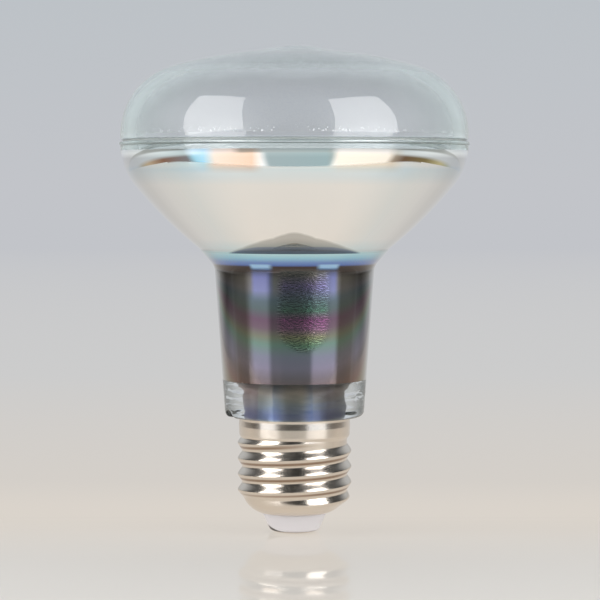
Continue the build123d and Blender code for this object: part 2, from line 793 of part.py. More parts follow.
def fuse_resistor():
    """Fuse resistor on the front of the tail, with its two leads bent to the board."""
    y = -BOARD_FACE - FUSE_RADIUS
    z = tail_middle_z()
    half = FUSE_LENGTH / 2
    body = upright(FUSE_WAIST_RADIUS, z - half, z + half, 0, y)
    for way in (-1, 1):
        inner = z + way * (half - FUSE_END_LENGTH)
        outer = z + way * half
        body += upright(FUSE_RADIUS, min(inner, outer), max(inner, outer), 0, y)
        tip = outer + way * FUSE_LEAD_REACH
        points = [(0, y, outer), (0, y, tip), (0, -BOARD_FACE, tip)]
        body += wire(points, FUSE_LEAD_RADIUS, FUSE_LEAD_RADIUS * 2)
    return body


def live_lead():
    """Lead from the tail of the driver board to the stem of the centre contact."""
    face = -BOARD_FACE - WIRE_RADIUS
    middle_z = (TAIL_Z + stem_top_z()) / 2
    points = [
        (-CAP_WIRE_X, face, TAIL_Z + WIRE_LAP),
        (-CAP_WIRE_X, face, middle_z),
        (0, 0, middle_z),
        (0, 0, stem_top_z()),
    ]
    return wire(points, WIRE_RADIUS, WIRE_BEND)


def neutral_lead():
    """Lead from the tail of the driver board to the wall of the shell."""
    face = -BOARD_FACE - WIRE_RADIUS
    middle_z = (TAIL_Z + stem_top_z()) / 2
    wall = math.sqrt((THREAD_MINOR_RADIUS - SHELL_WALL - WIRE_RADIUS - BOND_FILM) ** 2 - face**2)
    points = [
        (CAP_WIRE_X, face, TAIL_Z + WIRE_LAP),
        (CAP_WIRE_X, face, middle_z),
        (wall, face, middle_z),
        (wall, face, middle_z + WIRE_LAP),
    ]
    return wire(points, WIRE_RADIUS, WIRE_BEND)


PARTS = {
    "front_lens": front_lens,
    "lens_bond": lens_bond,
    "reflector_body": reflector_body,
    "cap_shell": cap_shell,
    "cap_insulator": cap_insulator,
    "centre_contact": centre_contact,
    "cap_cement": cap_cement,
    "heat_sink": heat_sink,
    "led_board": led_board,
    "led_packages": led_packages,
    "led_phosphors": led_phosphors,
    "board_screws": board_screws,
    "led_lead_positive": lambda: led_lead(1),
    "led_lead_negative": lambda: led_lead(-1),
    "driver_sleeve": driver_sleeve,
    "driver_board": driver_board,
    "smoothing_capacitor": smoothing_capacitor,
    "output_capacitor": output_capacitor,
    "choke_core": choke_core,
    "choke_winding": choke_winding,
    "film_capacitor": film_capacitor,
    "driver_chip": driver_chip,
    "bridge_rectifier": bridge_rectifier,
    "fuse_resistor": fuse_resistor,
    "live_lead": live_lead,
    "neutral_lead": neutral_lead,
}

os.makedirs("parts", exist_ok=True)
for name, make in PARTS.items():
    export_step(make(), f"parts/{name}.step")
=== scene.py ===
import math

import bpy
from bpy.props import FloatProperty, FloatVectorProperty, IntProperty, PointerProperty
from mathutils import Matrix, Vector


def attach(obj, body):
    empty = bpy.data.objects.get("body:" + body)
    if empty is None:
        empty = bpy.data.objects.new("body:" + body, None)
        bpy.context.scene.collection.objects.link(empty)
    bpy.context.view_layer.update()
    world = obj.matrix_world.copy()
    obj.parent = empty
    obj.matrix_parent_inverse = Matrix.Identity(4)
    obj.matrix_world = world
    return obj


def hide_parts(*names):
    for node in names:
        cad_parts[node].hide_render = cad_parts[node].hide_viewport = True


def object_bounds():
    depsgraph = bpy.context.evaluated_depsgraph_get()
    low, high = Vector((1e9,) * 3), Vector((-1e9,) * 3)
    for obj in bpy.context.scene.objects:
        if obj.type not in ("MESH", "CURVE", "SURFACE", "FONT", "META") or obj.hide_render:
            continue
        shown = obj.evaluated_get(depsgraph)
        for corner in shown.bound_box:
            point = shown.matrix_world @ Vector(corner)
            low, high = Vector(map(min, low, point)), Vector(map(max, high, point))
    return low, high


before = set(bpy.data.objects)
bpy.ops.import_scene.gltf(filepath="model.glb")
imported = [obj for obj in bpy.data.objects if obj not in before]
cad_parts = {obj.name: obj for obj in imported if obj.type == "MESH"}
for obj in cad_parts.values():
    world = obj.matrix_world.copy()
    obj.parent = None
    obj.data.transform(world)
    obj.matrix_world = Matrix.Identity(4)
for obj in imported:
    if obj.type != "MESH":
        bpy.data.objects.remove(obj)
CAD_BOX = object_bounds()

bl_info = {
    "name": "Reflector Lamp",
    "version": (1, 0, 0),
    "blender": (4, 5, 0),
    "location": "View3D > Sidebar > Lamp",
    "description": "Builds the glass, cap and studio of a screw-cap reflector lamp",
    "category": "Object",
}

# Lengths are in metres. Tables, spans and rounds are in millimetres.
MM = 0.001
TIP_Z = CAD_BOX[0][2]
# Points nearer than these are one point, in a spun skin and where skins meet.
SPIN_WELD = 0.002 * MM
SKIN_WELD = 0.005 * MM
# Edges sharper than this stay sharp.
CREASE = math.radians(40)


def linear(code):
    """Turns an sRGB hex code into a linear colour with full alpha."""
    parts = [int(code[i : i + 2], 16) / 255 for i in (1, 3, 5)]
    return tuple(c / 12.92 if c <= 0.04045 else ((c + 0.055) / 1.055) ** 2.4 for c in parts) + (1.0,)


def length(name, description, size):
    """Length property whose default is given in millimetres."""
    return FloatProperty(name=name, description=description, default=size * MM, unit="LENGTH", precision=5)


def angle(name, description, degrees):
    """Angle property whose default is given in degrees."""
    return FloatProperty(
        name=name, description=description, default=math.radians(degrees), subtype="ANGLE"
    )


def colour(name, description, code):
    """Colour property whose default is given as a hex code."""
    return FloatVectorProperty(
        name=name, description=description, default=linear(code)[:3], subtype="COLOR", min=0, max=1
    )


class LampGlassSizes(bpy.types.PropertyGroup):
    """Sizes of the lens and of the glass body."""

    segments: IntProperty(name="Segments", description="Faces around the glass", default=192, min=48)
    bulb_radius: length("Bulb radius", "Widest radius of bowl and lens", 39.85)
    boss_radius: length("Boss radius", "Radius of the boss inside the cap", 10.9)
    boss_height: length("Boss height", "Height of the boss below the foot", 7.3)
    foot_z: length("Foot height", "Height of the underside of the foot", 26.85)
    foot_thickness: length("Foot thickness", "Clear glass under the ledge", 8.35)
    foot_radius: length("Foot radius", "Radius of the neck at the foot", 16.0)
    neck_wall: length("Neck wall", "Wall of the neck", 2.4)
    bore_radius: length("Bore radius", "Radius of the bore through the foot", 7.7)
    seam_radius: length("Seam radius", "Radius of the seam between bowl and flare", 21.75)
    seam_z: length("Seam height", "Height of that seam", 65.4)
    seam_land: length("Seam land", "Height of the upright band at the seam", 0.25)
    equator_z: length("Equator height", "Height at which the bowl is widest", 89.0)
    bowl_shoulder: length("Bowl shoulder", "Radius of the upper arc of the bowl", 14.0)
    bowl_flank: length("Bowl flank", "Radius of the lower arc of the bowl", 100.0)
    bowl_wall: length("Bowl wall", "Wall of the bowl", 2.6)
    coat_top_z: length("Coat top", "Height at which the mirror coat begins", 87.9)
    coat_foot_z: length("Coat foot", "Height at which the film on the neck ends", 35.4)
    notch_radius: length("Notch radius", "Radius of the round notch in the foot", 2.6)
    notch_reach: length("Notch reach", "Distance of the centre of that notch from the axis", 16.2)
    notch_z: length("Notch height", "Height of the centre of that notch", 26.2)
    rim_z: length("Rim height", "Height of the flat rim", 89.975)
    lens_z: length("Lens height", "Height of the foot of the lens", 90.325)
    lens_apex_z: length("Lens apex", "Height of the crown of the lens without its pip", 111.025)
    lens_crown: length("Lens crown", "Radius of the crown of the lens", 103.0)
    lens_shoulder: length("Lens shoulder", "Radius of the shoulder of the lens", 16.0)
    lens_rim_wall: length("Lens rim wall", "Wall of the lens at its foot", 2.75)
    lens_crown_wall: length("Lens crown wall", "Wall of the lens at its crown", 3.5)
    lens_inner_crown: length("Lens inner crown", "Radius of the inside of the crown", 130.0)
    lens_inner_shoulder: length("Lens inner shoulder", "Radius of the inside of the shoulder", 14.0)
    pip_radius: length("Pip radius", "Radius of the raised pip at the crown", 10.5)
    pip_rise: length("Pip rise", "Height of that pip", 1.0)
    neck_taper: angle("Neck taper", "Taper of the neck", 4.05)
    flare_angle: angle("Flare angle", "Slope of the flare", 41.0)
    notch_turn: angle("Notch turn", "Place of the notch around the axis", 200.0)


class LampCapSizes(bpy.types.PropertyGroup):
    """Sizes of the screw cap."""

    segments: IntProperty(name="Segments", description="Faces around the cap", default=160, min=48)
    shell_z: length("Shell end", "Height of the lower end of the shell", 4.5)
    shell_top_z: length("Shell top", "Height of the upper edge of the shell", 26.8)
    shell_wall: length("Shell wall", "Sheet thickness of the shell", 0.3)
    mouth_radius: length("Mouth radius", "Radius of the opening for the nose", 7.6)
    end_round: length("End round", "Radius of the rounded end", 5.8)
    thread_major: length("Thread radius", "Radius over the thread crests", 13.15)
    thread_minor: length("Root radius", "Radius at the thread roots", 12.15)
    thread_pitch: length("Thread pitch", "Rise of one turn", 3.629)
    thread_crest_z: length("Crest height", "Height of a crest on the +X side", 7.96)
    thread_start_z: length("Thread start", "Height where the thread rises out of the shell", 6.2)
    thread_end_z: length("Thread end", "Height where the thread dies out", 22.4)
    thread_upper_share: FloatProperty(
        name="Upper flank", description="Share of the pitch above a crest", default=0.5, subtype="FACTOR"
    )
    collar_radius: length("Collar radius", "Radius of the plain collar", 12.85)
    collar_z: length("Collar height", "Height of the lower edge of the collar", 22.45)
    nose_z: length("Nose height", "Height of the tip of the insulating nose", 0.4)
    nose_radius: length("Nose radius", "Radius of the nose at its tip", 5.6)
    contact_radius: length("Contact radius", "Radius of the contact disc", 5.25)
    contact_flat: length("Contact flat", "Radius of its flat tip", 3.6)


class LampFinishes(bpy.types.PropertyGroup):
    """Colours of the lamp and of the studio."""

    glass: colour("Glass", "Tint of the pressed glass", "#FAFCFE")
    nickel: colour("Nickel", "Nickel plate on the cap", "#E4DACE")
    nose: colour("Nose", "White of the insulating nose", "#DAD8DC")
    floor_front: colour("Front floor", "Floor before the lamp", "#F4EEE5")
    floor_near: colour("Floor", "Floor under the lamp", "#F1EBE3")
    floor_middle: colour("Middle floor", "Floor some way behind the lamp", "#CCCCCC")
    floor_far: colour("Far floor", "Floor at the foot of the backdrop", "#C2C4C9")
    backdrop: colour("Backdrop", "Top of the backdrop", "#BDC2C7")


def arc(centre, radius, start, end, steps):
    """Points on an arc, angles in radians from the outward way, turned upwards."""
    turns = [start + (end - start) * i / steps for i in range(steps + 1)]
    return [centre + Vector((math.cos(t), math.sin(t))) * radius for t in turns]


def turn_of(centre, point):
    """Angle of a point about a centre."""
    return math.atan2(point.y - centre.y, point.x - centre.x)


def rounded(points, radii, steps=8):
    """Points of a chain whose inner corners are arcs of the given radii in millimetres."""
    chain = [Vector(points[0])]
    for before, corner, after, size in zip(points, points[1:], points[2:], radii):
        radius = size * MM
        before, corner, after = Vector(before), Vector(corner), Vector(after)
        into, out = (before - corner).normalized(), (after - corner).normalized()
        half = into.angle(out) / 2
        if radius <= 0 or half > math.pi / 2 - 1e-4:
            chain.append(corner)
            continue
        centre = corner + (into + out).normalized() * (radius / math.sin(half))
        start = turn_of(centre, corner + into * (radius / math.tan(half)))
        end = turn_of(centre, corner + out * (radius / math.tan(half)))
        sweep = (end - start + math.pi) % math.tau - math.pi
        chain += arc(centre, radius, start, start + sweep, steps)
    return chain + [Vector(points[-1])]


def spread(start, end, step):
    """Points along a straight run, no further apart than a step."""
    start, end = Vector(start), Vector(end)
    count = max(1, math.ceil((end - start).length / step))
    return [start.lerp(end, i / count) for i in range(count + 1)]


def joined(*chains):
    """One chain from several, with the points that repeat left out."""
    points = []
    for chain in chains:
        points += [p for p in chain if not points or (p - points[-1]).length > 1e-7]
    return points


def lathe(outline, segments):
    """Draws a half outline by extruding one vertex from point to point and spins it about the axis."""
    bpy.ops.object.select_all(action="DESELECT")
    bpy.ops.mesh.primitive_plane_add(size=MM, location=(0, 0, 0))
    piece = bpy.context.active_object
    bpy.ops.object.mode_set(mode="EDIT")
    bpy.ops.mesh.select_all(action="SELECT")
    bpy.ops.mesh.merge(type="CENTER")
    bpy.ops.transform.translate(value=(outline[0].x, 0, outline[0].y))
    for here, there in zip(outline, outline[1:]):
        move = (there.x - here.x, 0, there.y - here.y)
        bpy.ops.mesh.extrude_vertices_move(TRANSFORM_OT_translate={"value": move})
    bpy.ops.mesh.select_all(action="SELECT")
    bpy.ops.mesh.spin(steps=segments, angle=math.tau, center=(0, 0, 0), axis=(0, 0, 1))
    bpy.ops.mesh.select_all(action="SELECT")
    bpy.ops.mesh.remove_doubles(threshold=SPIN_WELD)
    bpy.ops.object.mode_set(mode="OBJECT")
    return piece


def closed(name, skins):
    """Joins skins that share their edges into one closed piece with its faces outward."""
    bpy.ops.object.select_all(action="DESELECT")
    for skin in skins:
        skin.select_set(True)
    piece = skins[0]
    bpy.context.view_layer.objects.active = piece
    if len(skins) > 1:
        bpy.ops.object.join()
    bpy.ops.object.mode_set(mode="EDIT")
    bpy.ops.mesh.select_all(action="SELECT")
    bpy.ops.mesh.remove_doubles(threshold=SKIN_WELD)
    bpy.ops.mesh.normals_make_consistent(inside=False)
    bpy.ops.object.mode_set(mode="OBJECT")
    bpy.ops.object.shade_smooth_by_angle(angle=CREASE)
    piece.name = piece.data.name = name
    return piece


def dress(piece, material):
    """Gives a piece one material all over."""
    piece.data.materials.clear()
    piece.data.materials.append(material)
    return piece


def stand_for(piece, node):
    """Lets a finished piece stand for a CAD node."""
    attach(piece, "root")
    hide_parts(node)


def chosen(name):
    """Colour from the finishes with full alpha."""
    return (*getattr(bpy.context.scene.lamp_finishes, name), 1.0)


def grey(share):
    """Linear grey with full alpha."""
    return (share, share, share, 1.0)


def add(tree, kind, feeds=None, stops=None, **settings):
    """Adds a node with its settings, the feeds of its sockets and, on a ramp, its colour stops. A feed is a
    plain value, a socket, or a node whose first output is meant."""
    item = tree.nodes.new("ShaderNode" + kind)
    for key, value in settings.items():
        setattr(item, key, value)
    for key, feed in (feeds or {}).items():
        source = feed.outputs[0] if isinstance(feed, bpy.types.Node) else feed
        if isinstance(source, bpy.types.NodeSocket):
            tree.links.new(source, item.inputs[key])
        else:
            item.inputs[key].default_value = source
    if stops:
        elements = item.color_ramp.elements
        while len(elements) < len(stops):
            elements.new(0.5)
        for element, (place, tint) in zip(elements, stops):
            element.position = place
            element.color = linear(tint) if isinstance(tint, str) else tint
    return item


def maths(tree, operation, *terms):
    """One step of arithmetic on numbers and feeds."""
    return add(tree, "Math", dict(enumerate(terms)), operation=operation)


def product(tree, total, *factors):
    """Feeds multiplied with each other."""
    for factor in factors:
        total = maths(tree, "MULTIPLY", total, factor)
    return total


def remap(tree, feed, low=0.0, high=1.0, start=0.0, end=1.0, smooth=False):
    """Feed taken from one span to another and held at both ends."""
    feeds = {"Value": feed, "From Min": low, "From Max": high, "To Min": start, "To Max": end}
    return add(tree, "MapRange", feeds, interpolation_type="SMOOTHSTEP" if smooth else "LINEAR")


def fade(tree, feed, span, start=0.0, end=1.0, smooth=False):
    """The same over a span in millimetres."""
    return remap(tree, feed, span[0] * MM, span[1] * MM, start, end, smooth)


def blend(tree, share, colour_a, colour_b, mode="MIX"):
    """Two colours mixed by a share."""
    feeds = {"Factor": share, "A": colour_a, "B": colour_b}
    return add(tree, "Mix", feeds, data_type="RGBA", blend_type=mode).outputs["Result"]


def cover(tree, share, below, above):
    """One shader partly covered by another."""
    return add(tree, "MixShader", {0: share, 1: below, 2: above})


def ramp(tree, feed, stops):
    """Colours by a share from nought to one."""
    return add(tree, "ValToRGB", {0: feed}, stops)


def bands(tree, feed, table):
    """Colours by a table of places in millimetres."""
    low, high = table[0][0], table[-1][0]
    return ramp(tree, fade(tree, feed, (low, high)), [((z - low) / (high - low), code) for z, code in table])


def reach(tree, **axes):
    """Length of the vector with the given axes."""
    vector = add(tree, "CombineXYZ", axes)
    return add(tree, "VectorMath", {0: vector}, operation="LENGTH").outputs["Value"]


def noise(tree, place, grain, layers=1.0, detail=3.0, roughness=0.5):
    """Noise with grains of a size in millimetres, pressed flat into layers."""
    flat = add(tree, "Mapping", {"Vector": place, "Scale": (1.0, 1.0, layers)})
    feeds = {"Vector": flat, "Scale": 1 / (grain * MM), "Detail": detail, "Roughness": roughness}
    return add(tree, "TexNoise", feeds)


def bumps(tree, height, strength, depth):
    """Surface that follows a height, with its depth in millimetres."""
    return add(tree, "Bump", {"Height": height, "Strength": strength, "Distance": depth * MM})


def own_place(tree):
    """Place in the object's own frame."""
    return add(tree, "TexCoord").outputs["Object"]


def split(tree, vector):
    """Axes of a vector."""
    return add(tree, "SeparateXYZ", {0: vector}).outputs


def slanted(tree, **normal):
    """How far a face slants away from the eye."""
    return add(tree, "LayerWeight", {"Blend": 0.5, **normal}).outputs["Facing"]


def turned_away(tree, x, y):
    """How far the side of a round piece turns away from the eye, whatever its slope."""
    flat = add(tree, "CombineXYZ", {"X": x, "Y": y})
    return slanted(tree, Normal=add(tree, "VectorMath", {0: flat}, operation="NORMALIZE"))


def glow(tree, tint):
    """Light of a colour's own brightness."""
    return add(tree, "Emission", {"Color": tint})


def blank(name):
    """New material with an empty tree."""
    material = bpy.data.materials.new(name)
    material.use_nodes = True
    material.node_tree.nodes.clear()
    return material, material.node_tree


def finish(material, shader):
    """Links a shader to the output of its material."""
    add(material.node_tree, "OutputMaterial", {"Surface": shader})
    return material


GLASS_IOR = 1.51


def clear_glass(tree, tint, roughness, surface):
    """Shader of soda-lime glass."""
    feeds = {"Base Color": tint, "Roughness": roughness, "IOR": GLASS_IOR, "Transmission Weight": 1.0}
    return add(tree, "BsdfPrincipled", {**feeds, "Normal": surface})


# Slants of a face at which the painted edge light of pressed glass grows and thins, and the turns from front
# to sides.
EDGE_LIGHT_SLANTS = (0.2, 0.45, 0.7, 1.0)
EDGE_LIGHT_TURNS = (0.05, 0.6)


def pressed_glass(name, tint, haze, edge_light_peak, waves, layers=1.0, front=1.0, sides=1.0):
    """Soda-lime glass, pressed and fire-polished: clear and glossy, with slow waves from the mould and a pale
    diffuse layer painted as light gathered in its edges, which may differ between its front and its sides."""
    material, tree = blank(name)
    place = own_place(tree)
    x, y, _ = split(tree, place)
    # Mould waves about 5 mm long.
    swell = noise(tree, place, 5.0, layers, detail=1.0, roughness=0.4)
    glass = clear_glass(tree, tint, 0.0, bumps(tree, swell, 1.0, waves))
    # Painted light: a pale diffuse layer, strongest near the edges, stands in for light caught in the glass.
    painted_edge_light = add(tree, "BsdfDiffuse", {"Color": linear("#DEEFEE")})
    edge_light_levels = (haze, edge_light_peak / 2, edge_light_peak, edge_light_peak / 3)
    share = ramp(tree, slanted(tree), [(slant, grey(part)) for slant, part in zip(EDGE_LIGHT_SLANTS, edge_light_levels)])
    weight = remap(tree, turned_away(tree, x, y), *EDGE_LIGHT_TURNS, front, sides)
    return finish(material, cover(tree, product(tree, share, weight), glass, painted_edge_light))


# Heights between which the painted sparkles on the coarse grains at the foot of the lens fade in.
PAINTED_SPARKLE_SPAN = (93.6, 91.6)


def stippled_glass(tint):
    """The same glass pressed on a stippled plunger: a dense grain of tiny lenses that scatters the view."""
    material, tree = blank("stippled_soda_lime_glass")
    place = own_place(tree)
    z = split(tree, place)["Z"]
    # Stipple grains about 0.35 mm apart.
    feeds = {"Vector": place, "Scale": 1 / (0.35 * MM), "Smoothness": 0.6}
    grains = add(tree, "TexVoronoi", feeds, feature="SMOOTH_F1")
    glass = clear_glass(tree, tint, 0.34, bumps(tree, grains, 0.25, 0.05))
    # Painted light: a faint glow on each grain peak stands in for side light thrown to the eye, a shimmer.
    shimmer_glow_share = remap(tree, grains, 0.1, 0.45, 0.3, 0.0)
    stippled = cover(tree, shimmer_glow_share, glass, glow(tree, linear("#DCDEE8")))
    # Painted highlights: near the foot of the lens some coarser grains, about 0.6 mm apart, glow
    # where they would catch the light.
    crystals = add(tree, "TexVoronoi", {"Vector": place, "Scale": 1 / (0.6 * MM)})
    painted_sparkles = maths(tree, "LESS_THAN", crystals, fade(tree, z, PAINTED_SPARKLE_SPAN, end=0.3))
    return finish(material, cover(tree, painted_sparkles, stippled, glow(tree, linear("#F2F4F8"))))


# Colours of the film by height, as it shows through the glass: silver on the bowl, a blue fringe on the
# flare, then the bands of a thinning film down the neck.
FILM_BANDS = (
    (26.0, "#847F6E"), (30.0, "#887C64"), (33.0, "#80665E"), (36.5, "#786C70"), (39.0, "#867E8E"),
    (41.5, "#80808E"), (44.3, "#6E8A7A"), (46.0, "#787A64"), (48.0, "#6E5660"), (49.8, "#684A5C"),
    (52.3, "#566462"), (54.5, "#5A6870"), (56.5, "#767478"), (59.0, "#706C66"), (60.8, "#403430"),
    (61.9, "#3A2826"), (62.2, "#5078CC"), (62.9, "#7098D8"), (63.8, "#98D6F0"), (64.9, "#C4F2FA"),
    (65.3, "#DCE6E8"), (66.0, "#E8F6F8"), (68.0, "#FEFDFA"), (80.0, "#FEFDFA"), (81.8, "#EEF7FA"),
    (83.5, "#E6F4FA"), (84.4, "#FEFDFA"), (87.0, "#FEFDFA"), (87.4, "#E2E4E6"), (88.0, "#C4C8CC"),
)

# Colours in the wrinkled patch on the front of the neck.
PATCH_BANDS = (
    (42.0, "#586460"), (44.0, "#54785E"), (46.0, "#686C4E"), (48.0, "#6A4660"), (50.0, "#603456"),
    (52.0, "#385648"), (55.0, "#404C54"), (57.5, "#524A68"), (60.0, "#504C46"),
)

# Painted tints of the two softbox reflections in the mirror just under the rim, by place across.
REFLECTION_TINT_BANDS = (
    (-36.0, "#FFFFFF"), (-23.0, "#E8FAFF"), (-19.5, "#C8F0FF"), (-17.0, "#FFE6D2"), (-9.0, "#FFD2B4"),
    (-6.5, "#FFFFFF"), (7.0, "#F4FFFF"), (9.5, "#FFF4E4"), (21.0, "#FFEEDA"), (24.0, "#FFFFFF"),
)

# Lower edge of the painted reflection of the neck in the bowl and its shades: height by how far the side
# turns away from the eye, softness of the upper edge and colour. The span is more than any of the heights.
SEAM_EDGE = 64.8
NECK_REFLECTION_SPAN = 6
NECK_REFLECTION_SHADES = (
    (((0.0, 5.1), (0.002, 4.8), (0.019, 3.8), (0.073, 2.7), (0.148, 1.6), (0.3, 0.2)), 0.5, "#CACAC8"),
    (((0.0, 3.8), (0.019, 3.0), (0.073, 2.3), (0.148, 1.5), (0.3, 0.2)), 1.8, "#D2D4D4"),
    (((0.0, 1.8), (0.073, 1.7), (0.148, 1.2), (0.3, 0.0)), 0.3, "#B2C0E0"),
    (((0.0, 1.3), (0.073, 1.2), (0.148, 0.9), (0.3, 0.0)), 0.4, "#CCD4D8"),
)

# Painted shades by how far the side turns away: of the film on the neck and of the mirror on the bowl.
PAINTED_FLANK_SHADES = ((0.16, "#FFFFFF"), (0.2, "#D6D0C4"), (0.34, "#D6D0C4"), (0.45, "#FFFFFF"))
PAINTED_BRIM_SHADES = (
    (0.06, "#FFFFFF"), (0.25, "#EEF8FF"), (0.45, "#F0F5FA"),
    (0.53, "#EAEEF2"), (0.6, "#DFE3E6"), (0.7, "#D4D8DC"),
)

# Painted highlights: blue of the two soft lamps in the film under the flare and its share by height, and by
# how far the side turns away.
PAINTED_GLINT_TINTS = (
    (54.0, "#7E90A0"), (56.5, "#8A90CC"), (59.5, "#7880C8"),
    (61.0, "#5070B0"), (61.8, "#9CD0FF"), (62.6, "#A0D2FF"),
)
PAINTED_GLINT_SHARES = (
    (54.0, "#000000"), (56.5, "#C0C0C0"), (59.5, "#C0C0C0"), (61.0, "#808080"),
    (61.7, "#FFFFFF"), (62.2, "#FFFFFF"), (62.6, "#000000"),
)
PAINTED_GLINT_SIDES = ((0.035, "#000000"), (0.055, "#FFFFFF"), (0.14, "#FFFFFF"), (0.17, "#000000"))

# Share of the painted pale edge and thin pale line at the sides of the neck, by slant.
PAINTED_EDGE_SHARES = (
    (0.0, "#000000"), (0.36, "#000000"), (0.39, "#505050"), (0.41, "#000000"),
    (0.55, "#000000"), (0.72, "#909090"), (1.0, "#F0F0F0"),
)

# Spans of height: from bowl to neck, down which the film shifts at a slant and by how much, up which the foot
# of the patch widens, where the painted reflection tints under the rim come in and where the coat ends in a
# painted glow.
NECK_SPAN = (61.6, 60.8)
SHIFT_SPAN = (61.4, 54.0)
FILM_SHIFT = 16
PATCH_FOOT_SPAN = (41.0, 48.5)
REFLECTION_TINT_SPAN = (82.5, 84.5)
COAT_GLOW_SPAN = (86.0, 87.2)
# Half the width of the patch and the place of its middle.
PATCH_HALF = 6
PATCH_MIDDLE = 2.2


def coated_glass():
    """Glass with a vapour-deposited coat behind it: a bright mirror on the bowl, a dark rainbow film on the
    neck, both under the gloss of the clear outer face."""
    material, tree = blank("mirror_coated_glass")
    place = own_place(tree)
    x, y, z = split(tree, place)
    slant, turned = slanted(tree), turned_away(tree, x, y)
    neck = fade(tree, z, NECK_SPAN)
    # Seen at a slant the film looks thinner, so towards the sides its bands move up the neck.
    rise = product(tree, maths(tree, "POWER", slant, 2.0), fade(tree, z, SHIFT_SPAN, smooth=True))
    film = bands(tree, maths(tree, "MULTIPLY_ADD", rise, -FILM_SHIFT * MM, z), FILM_BANDS)
    # The wrinkled patch on the front of the neck ends in a round foot.
    across = maths(tree, "MULTIPLY_ADD", x, 1 / (PATCH_HALF * MM), -PATCH_MIDDLE / PATCH_HALF)
    below = fade(tree, z, PATCH_FOOT_SPAN, 1.25, 0.0)
    edge = remap(tree, reach(tree, X=across, Z=below), 1.1, 0.7, smooth=True)
    patch = product(tree, edge, maths(tree, "LESS_THAN", y, 0.0), neck)
    tone = blend(tree, patch, film, bands(tree, z, PATCH_BANDS))
    # Painted reflection: the softbox reflections under the rim are tinted by place across.
    tone = blend(tree, fade(tree, z, REFLECTION_TINT_SPAN), tone, bands(tree, x, REFLECTION_TINT_BANDS), "MULTIPLY")
    # Painted reflection just above the seam, where the wall guides the view down into the dark neck:
    # a thin dark lens with a grey hump.
    bowl = maths(tree, "GREATER_THAN", z, SEAM_EDGE * MM)
    for tops, soft, code in NECK_REFLECTION_SHADES:
        top = ramp(tree, turned, [(turn, grey(height / NECK_REFLECTION_SPAN)) for turn, height in tops])
        top_z = maths(tree, "MULTIPLY_ADD", top, NECK_REFLECTION_SPAN * MM, SEAM_EDGE * MM)
        inside = fade(tree, maths(tree, "SUBTRACT", top_z, z), (0.0, soft))
        tone = blend(tree, product(tree, inside, bowl), tone, linear(code), "MULTIPLY")
    # Painted shade by how far the side turns away: the film darkest a third of the way round the neck, and
    # the mirror darker towards its own edge.
    painted_side_shade = blend(tree, neck, ramp(tree, turned, PAINTED_BRIM_SHADES), ramp(tree, turned, PAINTED_FLANK_SHADES))
    tone = blend(tree, 1.0, tone, painted_side_shade, "MULTIPLY")
    # Painted highlights: short blue glints where the round under the flare gathers the two soft lamps,
    # weaker on the patch.
    painted_glint = product(tree, ramp(tree, turned, PAINTED_GLINT_SIDES), bands(tree, z, PAINTED_GLINT_SHARES))
    painted_glint = product(tree, painted_glint, remap(tree, patch, start=1.0, end=0.2))
    tone = blend(tree, painted_glint, tone, bands(tree, z, PAINTED_GLINT_TINTS))
    # Painted light at the sides of the neck: a thin pale line and a pale edge, where the bare glass would
    # show.
    tone = blend(tree, product(tree, ramp(tree, slant, PAINTED_EDGE_SHARES), neck), tone, linear("#A9ADAF"))
    # Wrinkles about 0.3 mm high and 0.9 mm long.
    ripple = noise(tree, place, 0.9, layers=3.0)
    # The coat ends in a hazy edge, painted as a glow that is stronger at the sides, standing in for light
    # that comes down through the rim.
    haze = product(tree, fade(tree, z, COAT_GLOW_SPAN), remap(tree, turned, 0.15, 0.35, 0.3))
    metal = add(
        tree,
        "BsdfPrincipled",
        {
            "Base Color": tone,
            "Metallic": 1.0,
            "Roughness": remap(tree, neck, start=0.03, end=0.12),
            "Normal": bumps(tree, ripple, patch, 0.15),
            "Coat Weight": 1.0,
            "Coat Roughness": 0.01,
            "Coat IOR": GLASS_IOR,
            "Emission Color": linear("#949894"),
            "Emission Strength": haze,
        },
    )
    return finish(material, metal)


# Colours of the bare coat inside by height: dark film in the bore, mirror in the bowl.
INSIDE_BANDS = (
    (18.0, "#66748E"), (28.0, "#7E8EBA"), (30.0, "#9CA8B4"), (31.5, "#A6A8A0"), (33.0, "#AEA498"),
    (34.6, "#928A80"), (36.0, "#605C52"), (60.0, "#504C4C"), (66.0, "#F6F5F2"), (88.0, "#FAF8F4"),
)

# Painted reflection: what the film in the bore takes from the room, by place across.
PAINTED_BORE_REFLECTIONS = (
    (-7.7, "#F2DAE4"), (-6.6, "#E6D8E2"), (-6.3, "#FAFDFF"), (-4.2, "#F2F8FF"), (-3.8, "#AAB8D0"),
    (-1.5, "#C0BEB8"), (1.5, "#C2BEB4"), (3.2, "#AAB6CE"), (3.6, "#C2C4CE"), (5.4, "#B8B6C2"),
    (6.0, "#A29AA4"), (7.7, "#A49A98"),
)

# Heights from the neck down to the bore and up to the bowl.
BORE_SPAN = (60, 36)
BOWL_SPAN = (60, 66)


def bare_coat():
    """The same coat seen on its own face inside the lamp: matt film low down, a soft mirror in the bowl."""
    material, tree = blank("vapour_deposited_coat")
    x, _, z = split(tree, own_place(tree))
    # Painted reflection: the film in the bore is multiplied by the room's image, by place across.
    coat, sides = bands(tree, z, INSIDE_BANDS), bands(tree, x, PAINTED_BORE_REFLECTIONS)
    bowl = fade(tree, z, BOWL_SPAN)
    feeds = {
        "Base Color": blend(tree, fade(tree, z, BORE_SPAN), coat, sides, "MULTIPLY"),
        "Metallic": remap(tree, bowl, start=0.4, end=1.0),
        "Roughness": remap(tree, bowl, start=0.4, end=0.05),
    }
    return finish(material, add(tree, "BsdfPrincipled", feeds))


# Share of the painted brown reflection line on the lower flanks, by radius and by height.
PAINTED_LINE_RADII = ((12.3, "#000000"), (12.5, "#E0E0E0"), (12.7, "#E0E0E0"), (12.9, "#000000"))
PAINTED_LINE_HEIGHTS = ((8.5, "#000000"), (10.0, "#FFFFFF"), (20.5, "#FFFFFF"), (22.0, "#000000"))


